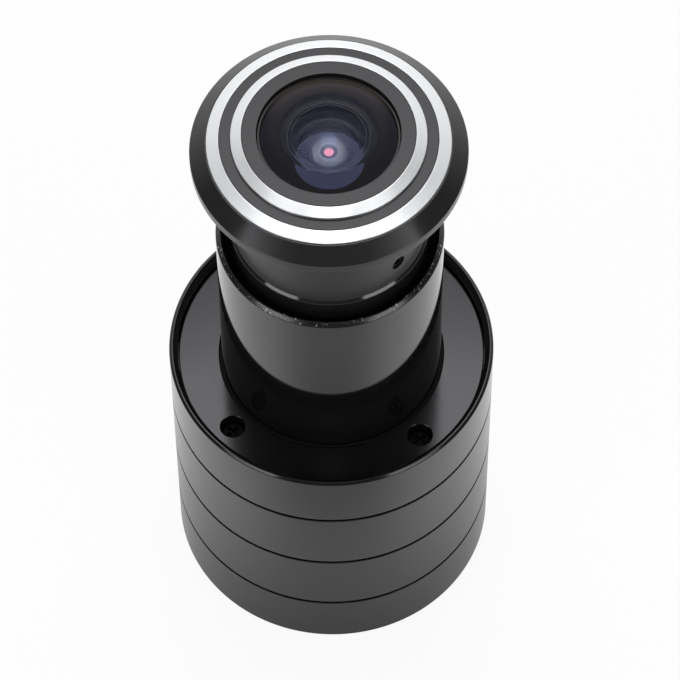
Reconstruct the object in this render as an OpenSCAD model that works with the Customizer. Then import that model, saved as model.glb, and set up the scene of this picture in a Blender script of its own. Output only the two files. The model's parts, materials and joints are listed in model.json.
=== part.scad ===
// Peephole door camera: a turned metal housing on the room side of the door, a tube
// through the door, and a bezel barrel with a fisheye lens that slides into the tube
// from the street side. +Z runs from the rear face to the lens, z = 0 at the rear face.

/* [Housing] */
// Outside diameter of the rear housing
housing_d = 35.5; // [33:0.5:42]
// Length of the rear housing along the axis
housing_h = 35; // [34:0.5:42]
// Wall of the housing around its main bore
housing_wall = 2; // [1.4:0.1:2.2]
// Wall of the thin lips around the front plate and the rear cover
lip_wall = 0.9; // [0.6:0.1:1.2]
// Flat land of the front lip that rests against the door, outside its inner slope
lip_land = 0.15; // [0.1:0.05:0.2]
// Thickness of the inner ledge that carries the front plate
ledge_t = 2; // [1.5:0.1:3]
// Small chamfer on the housing's outer edges
housing_edge = 0.25; // [0.1:0.05:0.4]
// Decorative grooves around the housing
groove_n = 3; // [1:1:3]
// Distance between two grooves
groove_pitch = 9.5; // [6:0.5:10]
// Width of a groove
groove_w = 0.45; // [0.3:0.05:0.8]
// Depth of a groove
groove_deep = 0.3; // [0.1:0.05:0.5]

/* [Front plate] */
// Depth of the front plate's face below the housing's rim
front_recess = 1.5; // [0.5:0.1:2.5]
// Thickness of the front plate
plate_t = 3; // [2.6:0.1:4]
// Chamfer of the plate around the tube
plate_edge = 0.2; // [0.1:0.05:0.4]
// Distance of the plate screws from the bore, as a share of the ring between bore and tube
plate_screw_place = 0.4; // [0.36:0.01:0.46]
// Direction of the first plate screw
plate_screw_angle = 41.5; // [30:0.5:60]
// Diameter of the counterbores over the plate screws, as a share of the same ring
counterbore_share = 0.81; // [0.7:0.01:0.88]
// Depth of the counterbore
counterbore_deep = 2; // [1.5:0.1:2.2]

/* [Rear cover] */
// Depth of the rear cover's face inside the housing's end
rear_recess = 0.8; // [0.6:0.1:1.2]
// Thickness of the rear cover
cover_t = 2.2; // [2:0.1:2.8]

/* [Door tube] */
// Outside diameter of the tube that goes through the door
tube_d = 24; // [22:0.1:26]
// Length of the tube in front of the front plate
tube_len = 24.6; // [20:0.1:26]
// Wall of the tube around the barrel
tube_wall = 1.5; // [1.3:0.05:1.6]
// Wall of the tube at its wide mouth
mouth_wall = 0.55; // [0.45:0.05:0.8]
// Depth of the wide mouth
mouth_deep = 5; // [3:0.5:8]
// Chamfer on the tube's front edge
tube_edge = 0.4; // [0.1:0.05:0.4]
// Thickness of the tube's foot inside the housing
foot_t = 2.2; // [1.8:0.1:3]

/* [Bezel barrel] */
// Thickness of the door that the camera is set for
door_t = 36.9; // [34:0.1:42]
// Diameter of the bezel's flange
flange_d = 28.45; // [27:0.05:32]
// Height of the flange's upright rim
flange_rim = 1.1; // [0.8:0.1:2]
// Height of the flange's bevel
bevel_h = 1.4; // [0.8:0.1:2]
// Length of the barrel below the neck
barrel_len = 24.2; // [20:0.1:25]
// Depth of the neck below the barrel's surface
neck_cut = 0.3; // [0.2:0.05:0.6]
// Length of the neck under the flange
neck_len = 11.8; // [10.5:0.1:13]
// Height of the chamfer between neck and barrel
shoulder_h = 0.3; // [0.2:0.1:1.5]
// Thickness of the bezel's front wall around the lens
front_wall = 1.5; // [1.3:0.1:2]
// Width of the flat ring around the lens
face_ring_w = 1.51; // [1:0.01:1.8]
// Width of the inner bright ring
inner_trim_w = 1.16; // [0.8:0.01:1.4]
// Width of the flat step between the two bright rings
step_ring_w = 1.15; // [0.8:0.01:1.4]
// Width of the outer bright ring
outer_trim_w = 1.33; // [0.8:0.01:1.6]
// Fall of a bright ring from its inner to its outer edge
trim_fall = 0.5; // [0.2:0.05:0.8]
// Height of the step outside a bright ring
trim_step = 0.33; // [0.15:0.01:0.4]
// Distance of the lens lock screw below the flange
lock_drop = 9.1; // [6:0.1:9.5]
// Direction of the lens lock screw
lock_angle = -46; // [-90:1:90]

/* [Lens] */
// Diameter of the lens head that shows in the bezel
lens_head_d = 14.5; // [14.2:0.1:15]
// Wall of the lens holder around the lens head
holder_wall = 1.15; // [0.9:0.05:1.3]
// Diameter of the lens thread
lens_thread_d = 12; // [11.6:0.1:12.2]
// Depth of the front glass's edge below the bezel's face
glass_recess = 0.6; // [0.3:0.05:1]
// Radius of the front glass's outer surface
glass_curve = 24; // [18:1:40]
// Length of the lens head
lens_head_len = 4.4; // [4.2:0.1:4.8]
// Length of the lens thread
lens_thread_len = 13.5; // [13:0.1:14]

/* [Electronics] */
// Thickness of the circuit boards
board_t = 1.2; // [0.8:0.1:1.6]
// Gap between the rear cover and the power board
rear_gap = 4; // [4:0.1:5]
// Gap between the power board and the main board
board_gap = 8.8; // [8:0.1:9]
// Width of the ribbon cable
ribbon_w = 6; // [4:0.5:6.5]
// Thickness of the ribbon cable
ribbon_t = 0.3; // [0.2:0.05:0.5]
// Half length of the ribbon's straight runs
ribbon_swing = 4; // [2.5:0.1:4.5]
// Turns of the folded ribbon
ribbon_turns = 5; // [3:1:6]
// Straight length of the ribbon at each socket
ribbon_lead = 3; // [2:0.1:4]

/* [Clearances] */
// Radial clearance of the barrel in the tube
slide_gap = 0.05; // [0.03:0.01:0.1]
// Radial clearance of pieces that are put together once
seat_gap = 0.1; // [0.05:0.01:0.15]
// Radial clearance of a screw in its thread
thread_gap = 0.03; // [0.02:0.01:0.05]

/* [Hidden] */
$fn = 96;
eps = 0.01;
cut_over = 1;

// Colours
BLACK_ANODISED = [0.06, 0.06, 0.065];
BLACK_PLASTIC = [0.09, 0.09, 0.09];
BRIGHT_METAL = [0.86, 0.87, 0.88];
STEEL = [0.6, 0.6, 0.62];
BRASS = [0.78, 0.62, 0.3];
BOARD_GREEN = [0.05, 0.3, 0.16];
CHIP_BLACK = [0.12, 0.12, 0.13];
LENS_GLASS = [0.45, 0.5, 0.75, 0.4];
CLEAR_PLASTIC = [0.9, 0.9, 0.92, 0.5];
RUBBER = [0.05, 0.05, 0.05];
RIBBON_AMBER = [0.72, 0.45, 0.12];
CREAM_PLASTIC = [0.85, 0.82, 0.72];

// Housing, from the rear face up
housing_r = housing_d / 2;
bore_r = housing_r - housing_wall;
lip_r = housing_r - lip_wall;
lip_slope = lip_wall - housing_edge - lip_land;
cover_z0 = rear_recess;
cover_z1 = cover_z0 + cover_t;
plate_z1 = housing_h - front_recess;
plate_z0 = plate_z1 - plate_t;
ledge_z0 = plate_z0 - ledge_t;
foot_z0 = ledge_z0 - foot_t;
insert_r = lip_r - seat_gap;
foot_r = bore_r - seat_gap;
groove_z0 = (housing_h - (groove_n - 1) * groove_pitch) / 2;

// Door tube
tube_r = tube_d / 2;
register_step = 0.3;
register_r = tube_r + register_step;
register_hole_r = register_r + slide_gap;
tube_z1 = plate_z1 + tube_len;
mouth_r = tube_r - mouth_wall;
mouth_z0 = tube_z1 - mouth_deep;
barrel_r = tube_r - tube_wall - slide_gap;
guide_r = barrel_r + slide_gap;
guide_edge = 0.3;

// Plate screws with small heads, sized for the ring between the tube and the housing's bore
plate_screw_n = 4;
screw_ring_w = bore_r - register_hole_r;
plate_screw_r = bore_r - plate_screw_place * screw_ring_w;
counterbore_r = counterbore_share * screw_ring_w / 2;
head_gap = 0.125;
plate_screw_head_r = counterbore_r - head_gap;
plate_screw_shank_r = 0.7;
plate_screw_head_h = 0.9;
plate_screw_seat_z = plate_z1 - counterbore_deep;
drive_w = 0.4;
drive_deep = 0.45;
drive_span = 0.75;

// Board stack: hexagonal standoffs between the tube's foot and the rear cover
post_n = 4;
post_angle = plate_screw_angle + 180 / plate_screw_n;
post_flat = 3;
post_corner_r = post_flat / sqrt(3);
post_margin = 0.2;
post_r = foot_r - post_corner_r - post_margin;
post_thread_r = 0.8;
post_stud = 2.4;
screw_end_gap = 0.4;
post_roof = 0.6;
foot_stud = foot_t - screw_end_gap;
board_r = bore_r - 5 * seat_gap;
power_z0 = cover_z1 + rear_gap;
power_z1 = power_z0 + board_t;
main_z0 = power_z1 + board_gap;
main_z1 = main_z0 + board_t;
rear_screw_head_r = 1.6;
rear_screw_head_h = 0.95;
rear_screw_len = cover_t + rear_gap - post_roof - screw_end_gap;

// Rear connectors, as places on the rear cover
usb_at = [0, -6];
usb_w = 8.94;
usb_h = 3.26;
usb_wall = 0.3;
usb_inset = 0.2;
usb_tongue_w = 6.7;
usb_tongue_t = 0.7;
usb_tongue_inset = 0.9;
button_at = [6, 3];
button_r = 1.5;
button_proud = 0.45;
button_lip_r = 2.1;
button_lip_h = 0.55;
button_nub_r = 0.8;
button_play = 0.05;
plunger_r = 0.9;
plunger_out = 0.6;
plunger_in = 0.7;
switch_w = 4.5;
switch_h = 1.8;
switch_well = 1.4;
light_at = [-6, 3];
light_r = 0.9;
light_lip_r = 1.4;
led_size = [1.6, 1.2, 0.8];
mic_at = [0, 7];
mic_hole_r = 0.5;
mic_size = [3.5, 2.7, 1];
mic_boot_r = 1.6;

// Parts on the boards
processor_size = [7, 7, 1.1];
processor_at = [-5.2, 5.6];
memory_size = [6, 5, 0.9];
memory_at = [5.6, 5.4];
socket_size = [8, 3.2, 1.4];
header_size = [10, 4.2];
header_at = [0, 6.6];
wifi_size = [13, 10, 2.3];
wifi_at = [-1, -4];
antenna_size = [2, 7, 1.1];
antenna_at = [-8.6, -4.8];

// Bezel barrel, from the door's face up
seat_z = housing_h + door_t;
rim_z = seat_z + flange_rim;
bevel_z = rim_z + bevel_h;
outer_trim_z0 = bevel_z + trim_step / 2;
step_z = outer_trim_z0 + trim_fall;
inner_trim_z0 = step_z + trim_step;
face_z = inner_trim_z0 + trim_fall;
flange_r = flange_d / 2;
neck_r = barrel_r - neck_cut;
neck_z0 = seat_z - neck_len;
barrel_z0 = neck_z0 - barrel_len;
barrel_edge = 0.3;
lens_head_r = lens_head_d / 2;
holder_r = lens_head_r + slide_gap + holder_wall;
barrel_bore_r = holder_r + slide_gap;
window_r = lens_head_r + seat_gap;
inner_trim_r0 = window_r + face_ring_w;
inner_trim_r1 = inner_trim_r0 + inner_trim_w;
outer_trim_r0 = inner_trim_r1 + step_ring_w;
outer_trim_r1 = outer_trim_r0 + outer_trim_w;
bevel_land = 0.12;
trim_seat = 0.45;
seal_w = 0.8;
seal_floor_r = barrel_r - seal_w;
seal_groove_w = 1.2;
seal_drops = [4, 8];
lock_z = seat_z - lock_drop;
lock_screw_r = 0.8;
lock_screw_sink = 0.2;
lock_socket_share = 0.45;
lock_groove_deep = 0.35;
lock_groove_w = 2;

// Lens and sensor, from the bezel's face down
glass_z = face_z - glass_recess;
head_wall = 0.17;
glass_r = lens_head_r - head_wall - thread_gap;
glass_edge = 0.8;
glass_rear_z = glass_z - glass_edge;
bowl_r = 4.1;
bowl_curve = 8;
head_lip = 0.1;
head_z1 = glass_z + head_lip;
head_z0 = head_z1 - lens_head_len;
lens_thread_r = lens_thread_d / 2;
lens_z0 = head_z0 - lens_thread_len;
spacer_t = 1.2;
spacer_z0 = glass_rear_z - spacer_t;
second_r = 3.6;
spacer_lip = 0.3;
second_curve = 14;
second_edge = 2.8;
second_seat_z = spacer_z0 - second_edge;
stop_r = 2.6;
aperture_r = 0.55;
aperture_t = 0.2;
aperture_sink = 0.4;
aperture_z0 = second_seat_z - aperture_t;
rear_lens_r = 3;
rear_lens_t = 5;
rear_lens_curve = 9;
rear_bore_r = rear_lens_r + thread_gap;
lens_air_gap = 0.5;
rear_lens_z1 = aperture_z0 - lens_air_gap;
retainer_t = 1.2;
retainer_hole_r = 2.2;
lens_seal_w = barrel_bore_r - lens_head_r - 4 * slide_gap;
holder_z1 = face_z - front_wall - lens_seal_w - 2 * slide_gap;
holder_web = 0.5;
holder_web_z0 = lens_z0 - thread_gap - holder_web;
light_path_r = 2.8;
filter_size = [7, 7, 0.3];
sensor_room = 4.8;
sensor_room_wall = 2.55;
sensor_room_r = holder_r - sensor_room_wall;
holder_z0 = holder_web_z0 - sensor_room;
sensor_size = [6, 5, 0.9];
sensor_board_r = holder_r - 2 * seat_gap;
sensor_board_t = 1;
sensor_board_z0 = holder_z0 - sensor_board_t;
sensor_screw_shank_r = 0.6;
sensor_screw_head_r = 1.05;
sensor_screw_head_h = 0.8;
sensor_screw_len = 3.5;
sensor_screw_r = (sensor_room_r + holder_r) / 2;

// Ribbon cable, folded to and fro between its two sockets
ribbon_z0 = main_z1 + socket_size[2];
ribbon_z1 = sensor_board_z0 - socket_size[2];
ribbon_bend_r = 2;
ribbon_run_z0 = ribbon_z0 + ribbon_lead + ribbon_bend_r;
ribbon_run_z1 = ribbon_z1 - ribbon_lead - ribbon_bend_r;
ribbon_pitch = (ribbon_run_z1 - ribbon_run_z0) / ribbon_turns;
ribbon_end_side = ribbon_turns % 2 == 0 ? -1 : 1;

// Rise of a spherical cap of the given curve over a disc of radius r
function cap_rise(curve, r) = curve - sqrt(curve * curve - r * r);

// Shared shapes

module turned(points) {
    rotate_extrude() polygon(points);
}

module ring(r_in, r_out, z0, z1) {
    turned([[r_in, z0], [r_out, z0], [r_out, z1], [r_in, z1]]);
}

module around(n, start, r) {
    for (i = [0:n - 1])
        rotate([0, 0, start + i * 360 / n])
            translate([r, 0, 0])
                children();
}

module at(place, z) {
    translate([place[0], place[1], z])
        children();
}

module rod(r, z0, z1) {
    translate([0, 0, z0])
        cylinder(r = r, h = z1 - z0);
}

// A block centred on its place, standing on z0
module block(size, z0) {
    translate([-size[0] / 2, -size[1] / 2, z0])
        cube(size);
}

// A slot with round ends, w long over all and h wide
module slot(w, h, z0, z1) {
    translate([0, 0, z0])
        linear_extrude(z1 - z0)
            union() {
                square([w - h, h], center = true);
                for (side = [-1, 1])
                    translate([side * (w - h) / 2, 0])
                        circle(d = h);
            }
}

// A glass cap: the part of a ball above the plane z0, over a disc of radius r
module glass_cap(curve, r, z0) {
    intersection() {
        translate([0, 0, z0 + cap_rise(curve, r) - curve])
            sphere(r = curve);
        rod(r, z0, z0 + curve);
    }
}

// A cross recess cut down from the top of a screw head of radius r
module cross_recess(r, z1) {
    for (turn = [0, 90])
        rotate([0, 0, turn])
            block([2 * r * drive_span, drive_w, drive_deep + eps], z1 - drive_deep);
}

// Hexagonal standoffs, each with a tapped foot and a stud on top
module standoffs(z0, z1, hole_deep, stud) {
    around(post_n, post_angle, post_r)
        difference() {
            union() {
                translate([0, 0, z0])
                    cylinder(r = post_corner_r, h = z1 - z0, $fn = 6);
                rod(post_thread_r, z1 - eps, z1 + stud);
            }
            rod(post_thread_r + thread_gap, z0 - eps, z0 + hole_deep);
        }
}

module circuit_board(z0, z1) {
    difference() {
        rod(board_r, z0, z1);
        around(post_n, post_angle, post_r)
            rod(post_thread_r + seat_gap, z0 - eps, z1 + eps);
    }
}

// Housing

module housing_shell() {
    color(BLACK_ANODISED)
        difference() {
            turned([
                [lip_r, 0],
                [housing_r - housing_edge, 0],
                [housing_r, housing_edge],
                [housing_r, housing_h - housing_edge],
                [housing_r - housing_edge, housing_h],
                [lip_r + lip_slope, housing_h],
                [lip_r, housing_h - lip_slope],
                [lip_r, plate_z0],
                [register_hole_r, plate_z0],
                [register_hole_r, ledge_z0],
                [bore_r, ledge_z0],
                [bore_r, cover_z1],
                [lip_r, cover_z1]
            ]);
            for (i = [0:groove_n - 1])
                translate([0, 0, groove_z0 + i * groove_pitch])
                    ring(housing_r - groove_deep, housing_r + cut_over, -groove_w / 2, groove_w / 2);
            around(plate_screw_n, plate_screw_angle, plate_screw_r)
                rod(plate_screw_shank_r + seat_gap, ledge_z0 - eps, plate_z0 + eps);
        }
}

module front_plate() {
    color(BLACK_ANODISED)
        difference() {
            turned([
                [register_hole_r, plate_z0],
                [insert_r, plate_z0],
                [insert_r, plate_z1],
                [register_hole_r + plate_edge, plate_z1],
                [register_hole_r, plate_z1 - plate_edge]
            ]);
            around(plate_screw_n, plate_screw_angle, plate_screw_r) {
                rod(plate_screw_shank_r + seat_gap, plate_z0 - eps, plate_z1 + eps);
                rod(counterbore_r, plate_screw_seat_z, plate_z1 + eps);
            }
        }
}

module door_tube() {
    color(BLACK_ANODISED)
        difference() {
            turned([
                [guide_r, foot_z0],
                [foot_r, foot_z0],
                [foot_r, ledge_z0],
                [register_r, ledge_z0],
                [register_r, plate_z1],
                [tube_r, plate_z1],
                [tube_r, tube_z1 - tube_edge],
                [tube_r - tube_edge, tube_z1],
                [mouth_r, tube_z1],
                [mouth_r, mouth_z0],
                [guide_r + guide_edge, mouth_z0],
                [guide_r, mouth_z0 - guide_edge]
            ]);
            around(plate_screw_n, plate_screw_angle, plate_screw_r)
                rod(plate_screw_shank_r + thread_gap, foot_z0 - eps, ledge_z0 + eps);
            around(post_n, post_angle, post_r)
                rod(post_thread_r + thread_gap, foot_z0 - eps, ledge_z0 + eps);
        }
}

module plate_screws() {
    head_z1 = plate_screw_seat_z + plate_screw_head_h;
    color(STEEL)
        around(plate_screw_n, plate_screw_angle, plate_screw_r)
            difference() {
                union() {
                    rod(plate_screw_head_r, plate_screw_seat_z, head_z1);
                    rod(plate_screw_shank_r, foot_z0, plate_screw_seat_z + eps);
                }
                cross_recess(plate_screw_head_r, head_z1);
            }
}

// Rear cover and what is reached through it

module rear_cover() {
    color(BLACK_PLASTIC)
        difference() {
            rod(insert_r, cover_z0, cover_z1);
            around(post_n, post_angle, post_r) {
                rod(post_thread_r + seat_gap, cover_z0 - eps, cover_z1 + eps);
                translate([0, 0, cover_z0 - eps])
                    cylinder(r1 = rear_screw_head_r + seat_gap + eps, r2 = post_thread_r + seat_gap,
                             h = rear_screw_head_h + eps);
            }
            at(usb_at, 0)
                slot(usb_w + 4 * seat_gap, usb_h + 4 * seat_gap, cover_z0 - eps, cover_z1 + eps);
            at(button_at, 0)
                rod(button_r + seat_gap, cover_z0 - eps, cover_z1 + eps);
            at(light_at, 0)
                rod(light_r + seat_gap, cover_z0 - eps, cover_z1 + eps);
            at(mic_at, 0)
                rod(mic_hole_r, cover_z0 - eps, cover_z1 + eps);
        }
}

module rear_screws() {
    color(STEEL)
        around(post_n, post_angle, post_r)
            difference() {
                union() {
                    translate([0, 0, cover_z0])
                        cylinder(r1 = rear_screw_head_r, r2 = post_thread_r, h = rear_screw_head_h);
                    rod(post_thread_r, cover_z0 + rear_screw_head_h - eps, cover_z0 + rear_screw_len);
                }
                mirror([0, 0, 1])
                    cross_recess(rear_screw_head_r, -cover_z0);
            }
}

module rear_standoffs() {
    color(BRASS)
        standoffs(cover_z1, power_z0, rear_gap - post_roof, board_t + post_stud);
}

module middle_standoffs() {
    color(BRASS)
        standoffs(power_z1, main_z0, post_stud + screw_end_gap, board_t + post_stud);
}

module front_standoffs() {
    color(BRASS)
        standoffs(main_z1, foot_z0, post_stud + screw_end_gap, foot_stud);
}

module usb_socket() {
    z0 = cover_z0 + usb_inset;
    color(STEEL)
        at(usb_at, 0)
            difference() {
                slot(usb_w, usb_h, z0, power_z0);
                slot(usb_w - 2 * usb_wall, usb_h - 2 * usb_wall, z0 - eps, power_z0 - usb_wall);
            }
}

module usb_tongue() {
    color(CHIP_BLACK)
        at(usb_at, 0)
            block([usb_tongue_w, usb_tongue_t, power_z0 - usb_wall - cover_z0 - usb_tongue_inset],
                  cover_z0 + usb_tongue_inset);
}

module reset_switch() {
    color(CHIP_BLACK)
        at(button_at, 0)
            difference() {
                block([switch_w, switch_w, switch_h], power_z0 - switch_h);
                rod(plunger_r + slide_gap, power_z0 - switch_h - eps, power_z0 - switch_h + switch_well);
            }
}

module switch_plunger() {
    color(CREAM_PLASTIC)
        at(button_at, 0)
            rod(plunger_r, power_z0 - switch_h - plunger_out, power_z0 - switch_h + plunger_in);
}

module reset_button() {
    lip_z0 = cover_z1 + button_play;
    color(BLACK_PLASTIC)
        at(button_at, 0)
            union() {
                rod(button_r, cover_z0 - button_proud, lip_z0 + eps);
                rod(button_lip_r, lip_z0, lip_z0 + button_lip_h);
                rod(button_nub_r, lip_z0, power_z0 - switch_h - plunger_out - button_play);
            }
}

module status_led() {
    color(CREAM_PLASTIC)
        at(light_at, 0)
            block(led_size, power_z0 - led_size[2]);
}

module light_pipe() {
    color(CLEAR_PLASTIC)
        at(light_at, 0)
            union() {
                rod(light_r, cover_z0, power_z0 - led_size[2] - seat_gap);
                rod(light_lip_r, cover_z1, cover_z1 + button_lip_h);
            }
}

module microphone() {
    color(STEEL)
        at(mic_at, 0)
            block(mic_size, power_z0 - mic_size[2]);
}

module mic_boot() {
    color(RUBBER)
        at(mic_at, 0)
            ring(mic_hole_r, mic_boot_r, cover_z1, power_z0 - mic_size[2]);
}

// Boards and their parts

module power_board() {
    color(BOARD_GREEN)
        circuit_board(power_z0, power_z1);
}

module wifi_module() {
    color(STEEL)
        at(wifi_at, 0)
            block(wifi_size, power_z1);
}

module antenna() {
    color(CREAM_PLASTIC)
        at(antenna_at, 0)
            block(antenna_size, power_z0 - antenna_size[2]);
}

module board_header() {
    color(CHIP_BLACK)
        at(header_at, 0)
            block([header_size[0], header_size[1], board_gap], power_z1);
}

module main_board() {
    color(BOARD_GREEN)
        circuit_board(main_z0, main_z1);
}

module processor_chip() {
    color(CHIP_BLACK)
        at(processor_at, 0)
            block(processor_size, main_z1);
}

module memory_chip() {
    color(CHIP_BLACK)
        at(memory_at, 0)
            block(memory_size, main_z1);
}

module main_flex_socket() {
    color(CREAM_PLASTIC)
        block(socket_size, main_z1);
}

// Part of a flat ring between two directions, as an outline of the ribbon's thickness
module bend(r, from, to) {
    reach = 2 * (r + ribbon_t);
    intersection() {
        difference() {
            circle(r = r + ribbon_t / 2);
            circle(r = r - ribbon_t / 2);
        }
        polygon([[0, 0], for (turn = [from:45:to]) reach * [cos(turn), sin(turn)]]);
    }
}

module run(x0, x1, z) {
    translate([x0, z - ribbon_t / 2])
        square([x1 - x0, ribbon_t]);
}

module ribbon_outline() {
    for (z0 = [ribbon_z0, ribbon_z1 - ribbon_lead])
        translate([-ribbon_t / 2, z0])
            square([ribbon_t, ribbon_lead]);
    translate([ribbon_bend_r, ribbon_z0 + ribbon_lead])
        bend(ribbon_bend_r, 90, 180);
    run(ribbon_bend_r, ribbon_swing, ribbon_run_z0);
    for (i = [0:ribbon_turns - 1])
        translate([(i % 2 == 0 ? 1 : -1) * ribbon_swing, ribbon_run_z0 + (i + 0.5) * ribbon_pitch])
            rotate(i % 2 == 0 ? 0 : 180)
                bend(ribbon_pitch / 2, -90, 90);
    for (i = [1:ribbon_turns - 1])
        run(-ribbon_swing, ribbon_swing, ribbon_run_z0 + i * ribbon_pitch);
    mirror([ribbon_end_side > 0 ? 0 : 1, 0]) {
        run(ribbon_bend_r, ribbon_swing, ribbon_run_z1);
        translate([ribbon_bend_r, ribbon_z1 - ribbon_lead])
            bend(ribbon_bend_r, 180, 270);
    }
}

module sensor_ribbon() {
    color(RIBBON_AMBER)
        translate([0, ribbon_w / 2, 0])
            rotate([90, 0, 0])
                linear_extrude(ribbon_w)
                    ribbon_outline();
}

// Bezel barrel

module bezel_barrel() {
    color(BLACK_ANODISED)
        difference() {
            turned([
                [barrel_bore_r, barrel_z0],
                [barrel_r - barrel_edge, barrel_z0],
                [barrel_r, barrel_z0 + barrel_edge],
                [barrel_r, neck_z0 - shoulder_h],
                [neck_r, neck_z0],
                [neck_r, seat_z],
                [flange_r, seat_z],
                [flange_r, rim_z],
                [outer_trim_r1 + bevel_land, bevel_z],
                [outer_trim_r1, bevel_z],
                [outer_trim_r1, outer_trim_z0 - trim_seat],
                [outer_trim_r0, outer_trim_z0 - trim_seat],
                [outer_trim_r0, step_z],
                [inner_trim_r1, step_z],
                [inner_trim_r1, inner_trim_z0 - trim_seat],
                [inner_trim_r0, inner_trim_z0 - trim_seat],
                [inner_trim_r0, face_z],
                [window_r, face_z],
                [window_r, face_z - front_wall],
                [barrel_bore_r, face_z - front_wall]
            ]);
            for (drop = seal_drops)
                translate([0, 0, barrel_z0 + drop])
                    ring(seal_floor_r, barrel_r + cut_over, -seal_groove_w / 2, seal_groove_w / 2);
            rotate([0, 0, lock_angle])
                translate([0, 0, lock_z])
                    rotate([0, 90, 0])
                        cylinder(r = lock_screw_r + thread_gap, h = barrel_r + cut_over);
        }
}

// Bright ring with a sloping face, seated in a groove of the bezel
module trim_ring(r0, r1, z0) {
    turned([
        [r0 + thread_gap, z0 - trim_seat],
        [r1 - thread_gap, z0 - trim_seat],
        [r1 - thread_gap, z0],
        [r0 + thread_gap, z0 + trim_fall]
    ]);
}

module inner_trim_ring() {
    color(BRIGHT_METAL)
        trim_ring(inner_trim_r0, inner_trim_r1, inner_trim_z0);
}

module outer_trim_ring() {
    color(BRIGHT_METAL)
        trim_ring(outer_trim_r0, outer_trim_r1, outer_trim_z0);
}

// Rubber rings that hold the barrel in the tube by friction
module barrel_seals() {
    color(RUBBER)
        for (drop = seal_drops)
            translate([0, 0, barrel_z0 + drop])
                rotate_extrude()
                    translate([barrel_r - seal_w / 2, 0])
                        circle(d = seal_w - thread_gap);
}

module lens_lock_screw() {
    tip_r = holder_r - lock_groove_deep + slide_gap;
    end_r = neck_r - lock_screw_sink;
    socket_deep = lock_socket_share * (end_r - tip_r);
    color(STEEL)
        rotate([0, 0, lock_angle])
            translate([0, 0, lock_z])
                rotate([0, 90, 0])
                    difference() {
                        rod(lock_screw_r, tip_r, end_r);
                        translate([0, 0, end_r - socket_deep])
                            cylinder(r = lock_screw_r / 2, h = socket_deep + eps, $fn = 6);
                    }
}

// Lens and image sensor

module lens_holder() {
    color(BLACK_PLASTIC)
        difference() {
            turned([
                [sensor_room_r, holder_z0],
                [holder_r, holder_z0],
                [holder_r, lock_z - lock_groove_w / 2],
                [holder_r - lock_groove_deep, lock_z - lock_groove_w / 2],
                [holder_r - lock_groove_deep, lock_z + lock_groove_w / 2],
                [holder_r, lock_z + lock_groove_w / 2],
                [holder_r, holder_z1],
                [lens_head_r + slide_gap, holder_z1],
                [lens_head_r + slide_gap, head_z0],
                [lens_thread_r + thread_gap, head_z0],
                [lens_thread_r + thread_gap, holder_web_z0 + holder_web],
                [light_path_r, holder_web_z0 + holder_web],
                [light_path_r, holder_web_z0],
                [sensor_room_r, holder_web_z0]
            ]);
            around(2, 0, sensor_screw_r)
                rod(sensor_screw_shank_r + thread_gap, holder_z0 - eps, holder_z0 + sensor_screw_len);
        }
}

module lens_barrel() {
    color(BLACK_ANODISED)
        turned([
            [rear_bore_r, lens_z0],
            [lens_thread_r, lens_z0],
            [lens_thread_r, head_z0],
            [lens_head_r, head_z0],
            [lens_head_r, head_z1],
            [glass_r + thread_gap, head_z1],
            [glass_r + thread_gap, spacer_z0],
            [second_r + thread_gap, spacer_z0],
            [second_r + thread_gap, aperture_z0],
            [stop_r, aperture_z0],
            [stop_r, rear_lens_z1],
            [rear_bore_r, rear_lens_z1]
        ]);
}

module lens_seal() {
    color(RUBBER)
        rotate_extrude()
            translate([lens_head_r + slide_gap + lens_seal_w / 2, holder_z1 + lens_seal_w / 2 + slide_gap])
                circle(d = lens_seal_w);
}

module front_lens() {
    color(LENS_GLASS)
        difference() {
            union() {
                rod(glass_r, glass_rear_z, glass_z);
                glass_cap(glass_curve, glass_r, glass_z);
            }
            glass_cap(bowl_curve, bowl_r, glass_rear_z);
        }
}

module lens_spacer() {
    color(BLACK_ANODISED)
        turned([
            [second_r - spacer_lip, spacer_z0],
            [glass_r, spacer_z0],
            [glass_r, glass_rear_z],
            [bowl_r, glass_rear_z],
            [second_r - spacer_lip, spacer_z0 + spacer_lip]
        ]);
}

module second_lens() {
    color(LENS_GLASS)
        union() {
            rod(second_r, second_seat_z, spacer_z0);
            glass_cap(second_curve, second_r - spacer_lip - slide_gap, spacer_z0);
        }
}

module aperture_disc() {
    color(BLACK_ANODISED)
        turned([
            [aperture_r, aperture_z0],
            [second_r, aperture_z0],
            [second_r, second_seat_z],
            [aperture_r + aperture_sink, second_seat_z]
        ]);
}

module rear_lens() {
    color(LENS_GLASS)
        intersection() {
            rod(rear_lens_r, rear_lens_z1 - rear_lens_t, rear_lens_z1);
            translate([0, 0, rear_lens_z1 - rear_lens_t + rear_lens_curve])
                sphere(r = rear_lens_curve);
        }
}

module lens_retainer() {
    z1 = rear_lens_z1 - rear_lens_t + cap_rise(rear_lens_curve, retainer_hole_r) - thread_gap;
    color(BLACK_ANODISED)
        ring(retainer_hole_r, rear_lens_r, z1 - retainer_t, z1);
}

module infrared_filter() {
    color(LENS_GLASS)
        block(filter_size, holder_web_z0 - filter_size[2]);
}

module image_sensor() {
    color(CHIP_BLACK)
        block(sensor_size, holder_z0);
}

module sensor_board() {
    color(BOARD_GREEN)
        difference() {
            rod(sensor_board_r, sensor_board_z0, holder_z0);
            around(2, 0, sensor_screw_r)
                rod(sensor_screw_shank_r + seat_gap, sensor_board_z0 - eps, holder_z0 + eps);
        }
}

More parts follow.
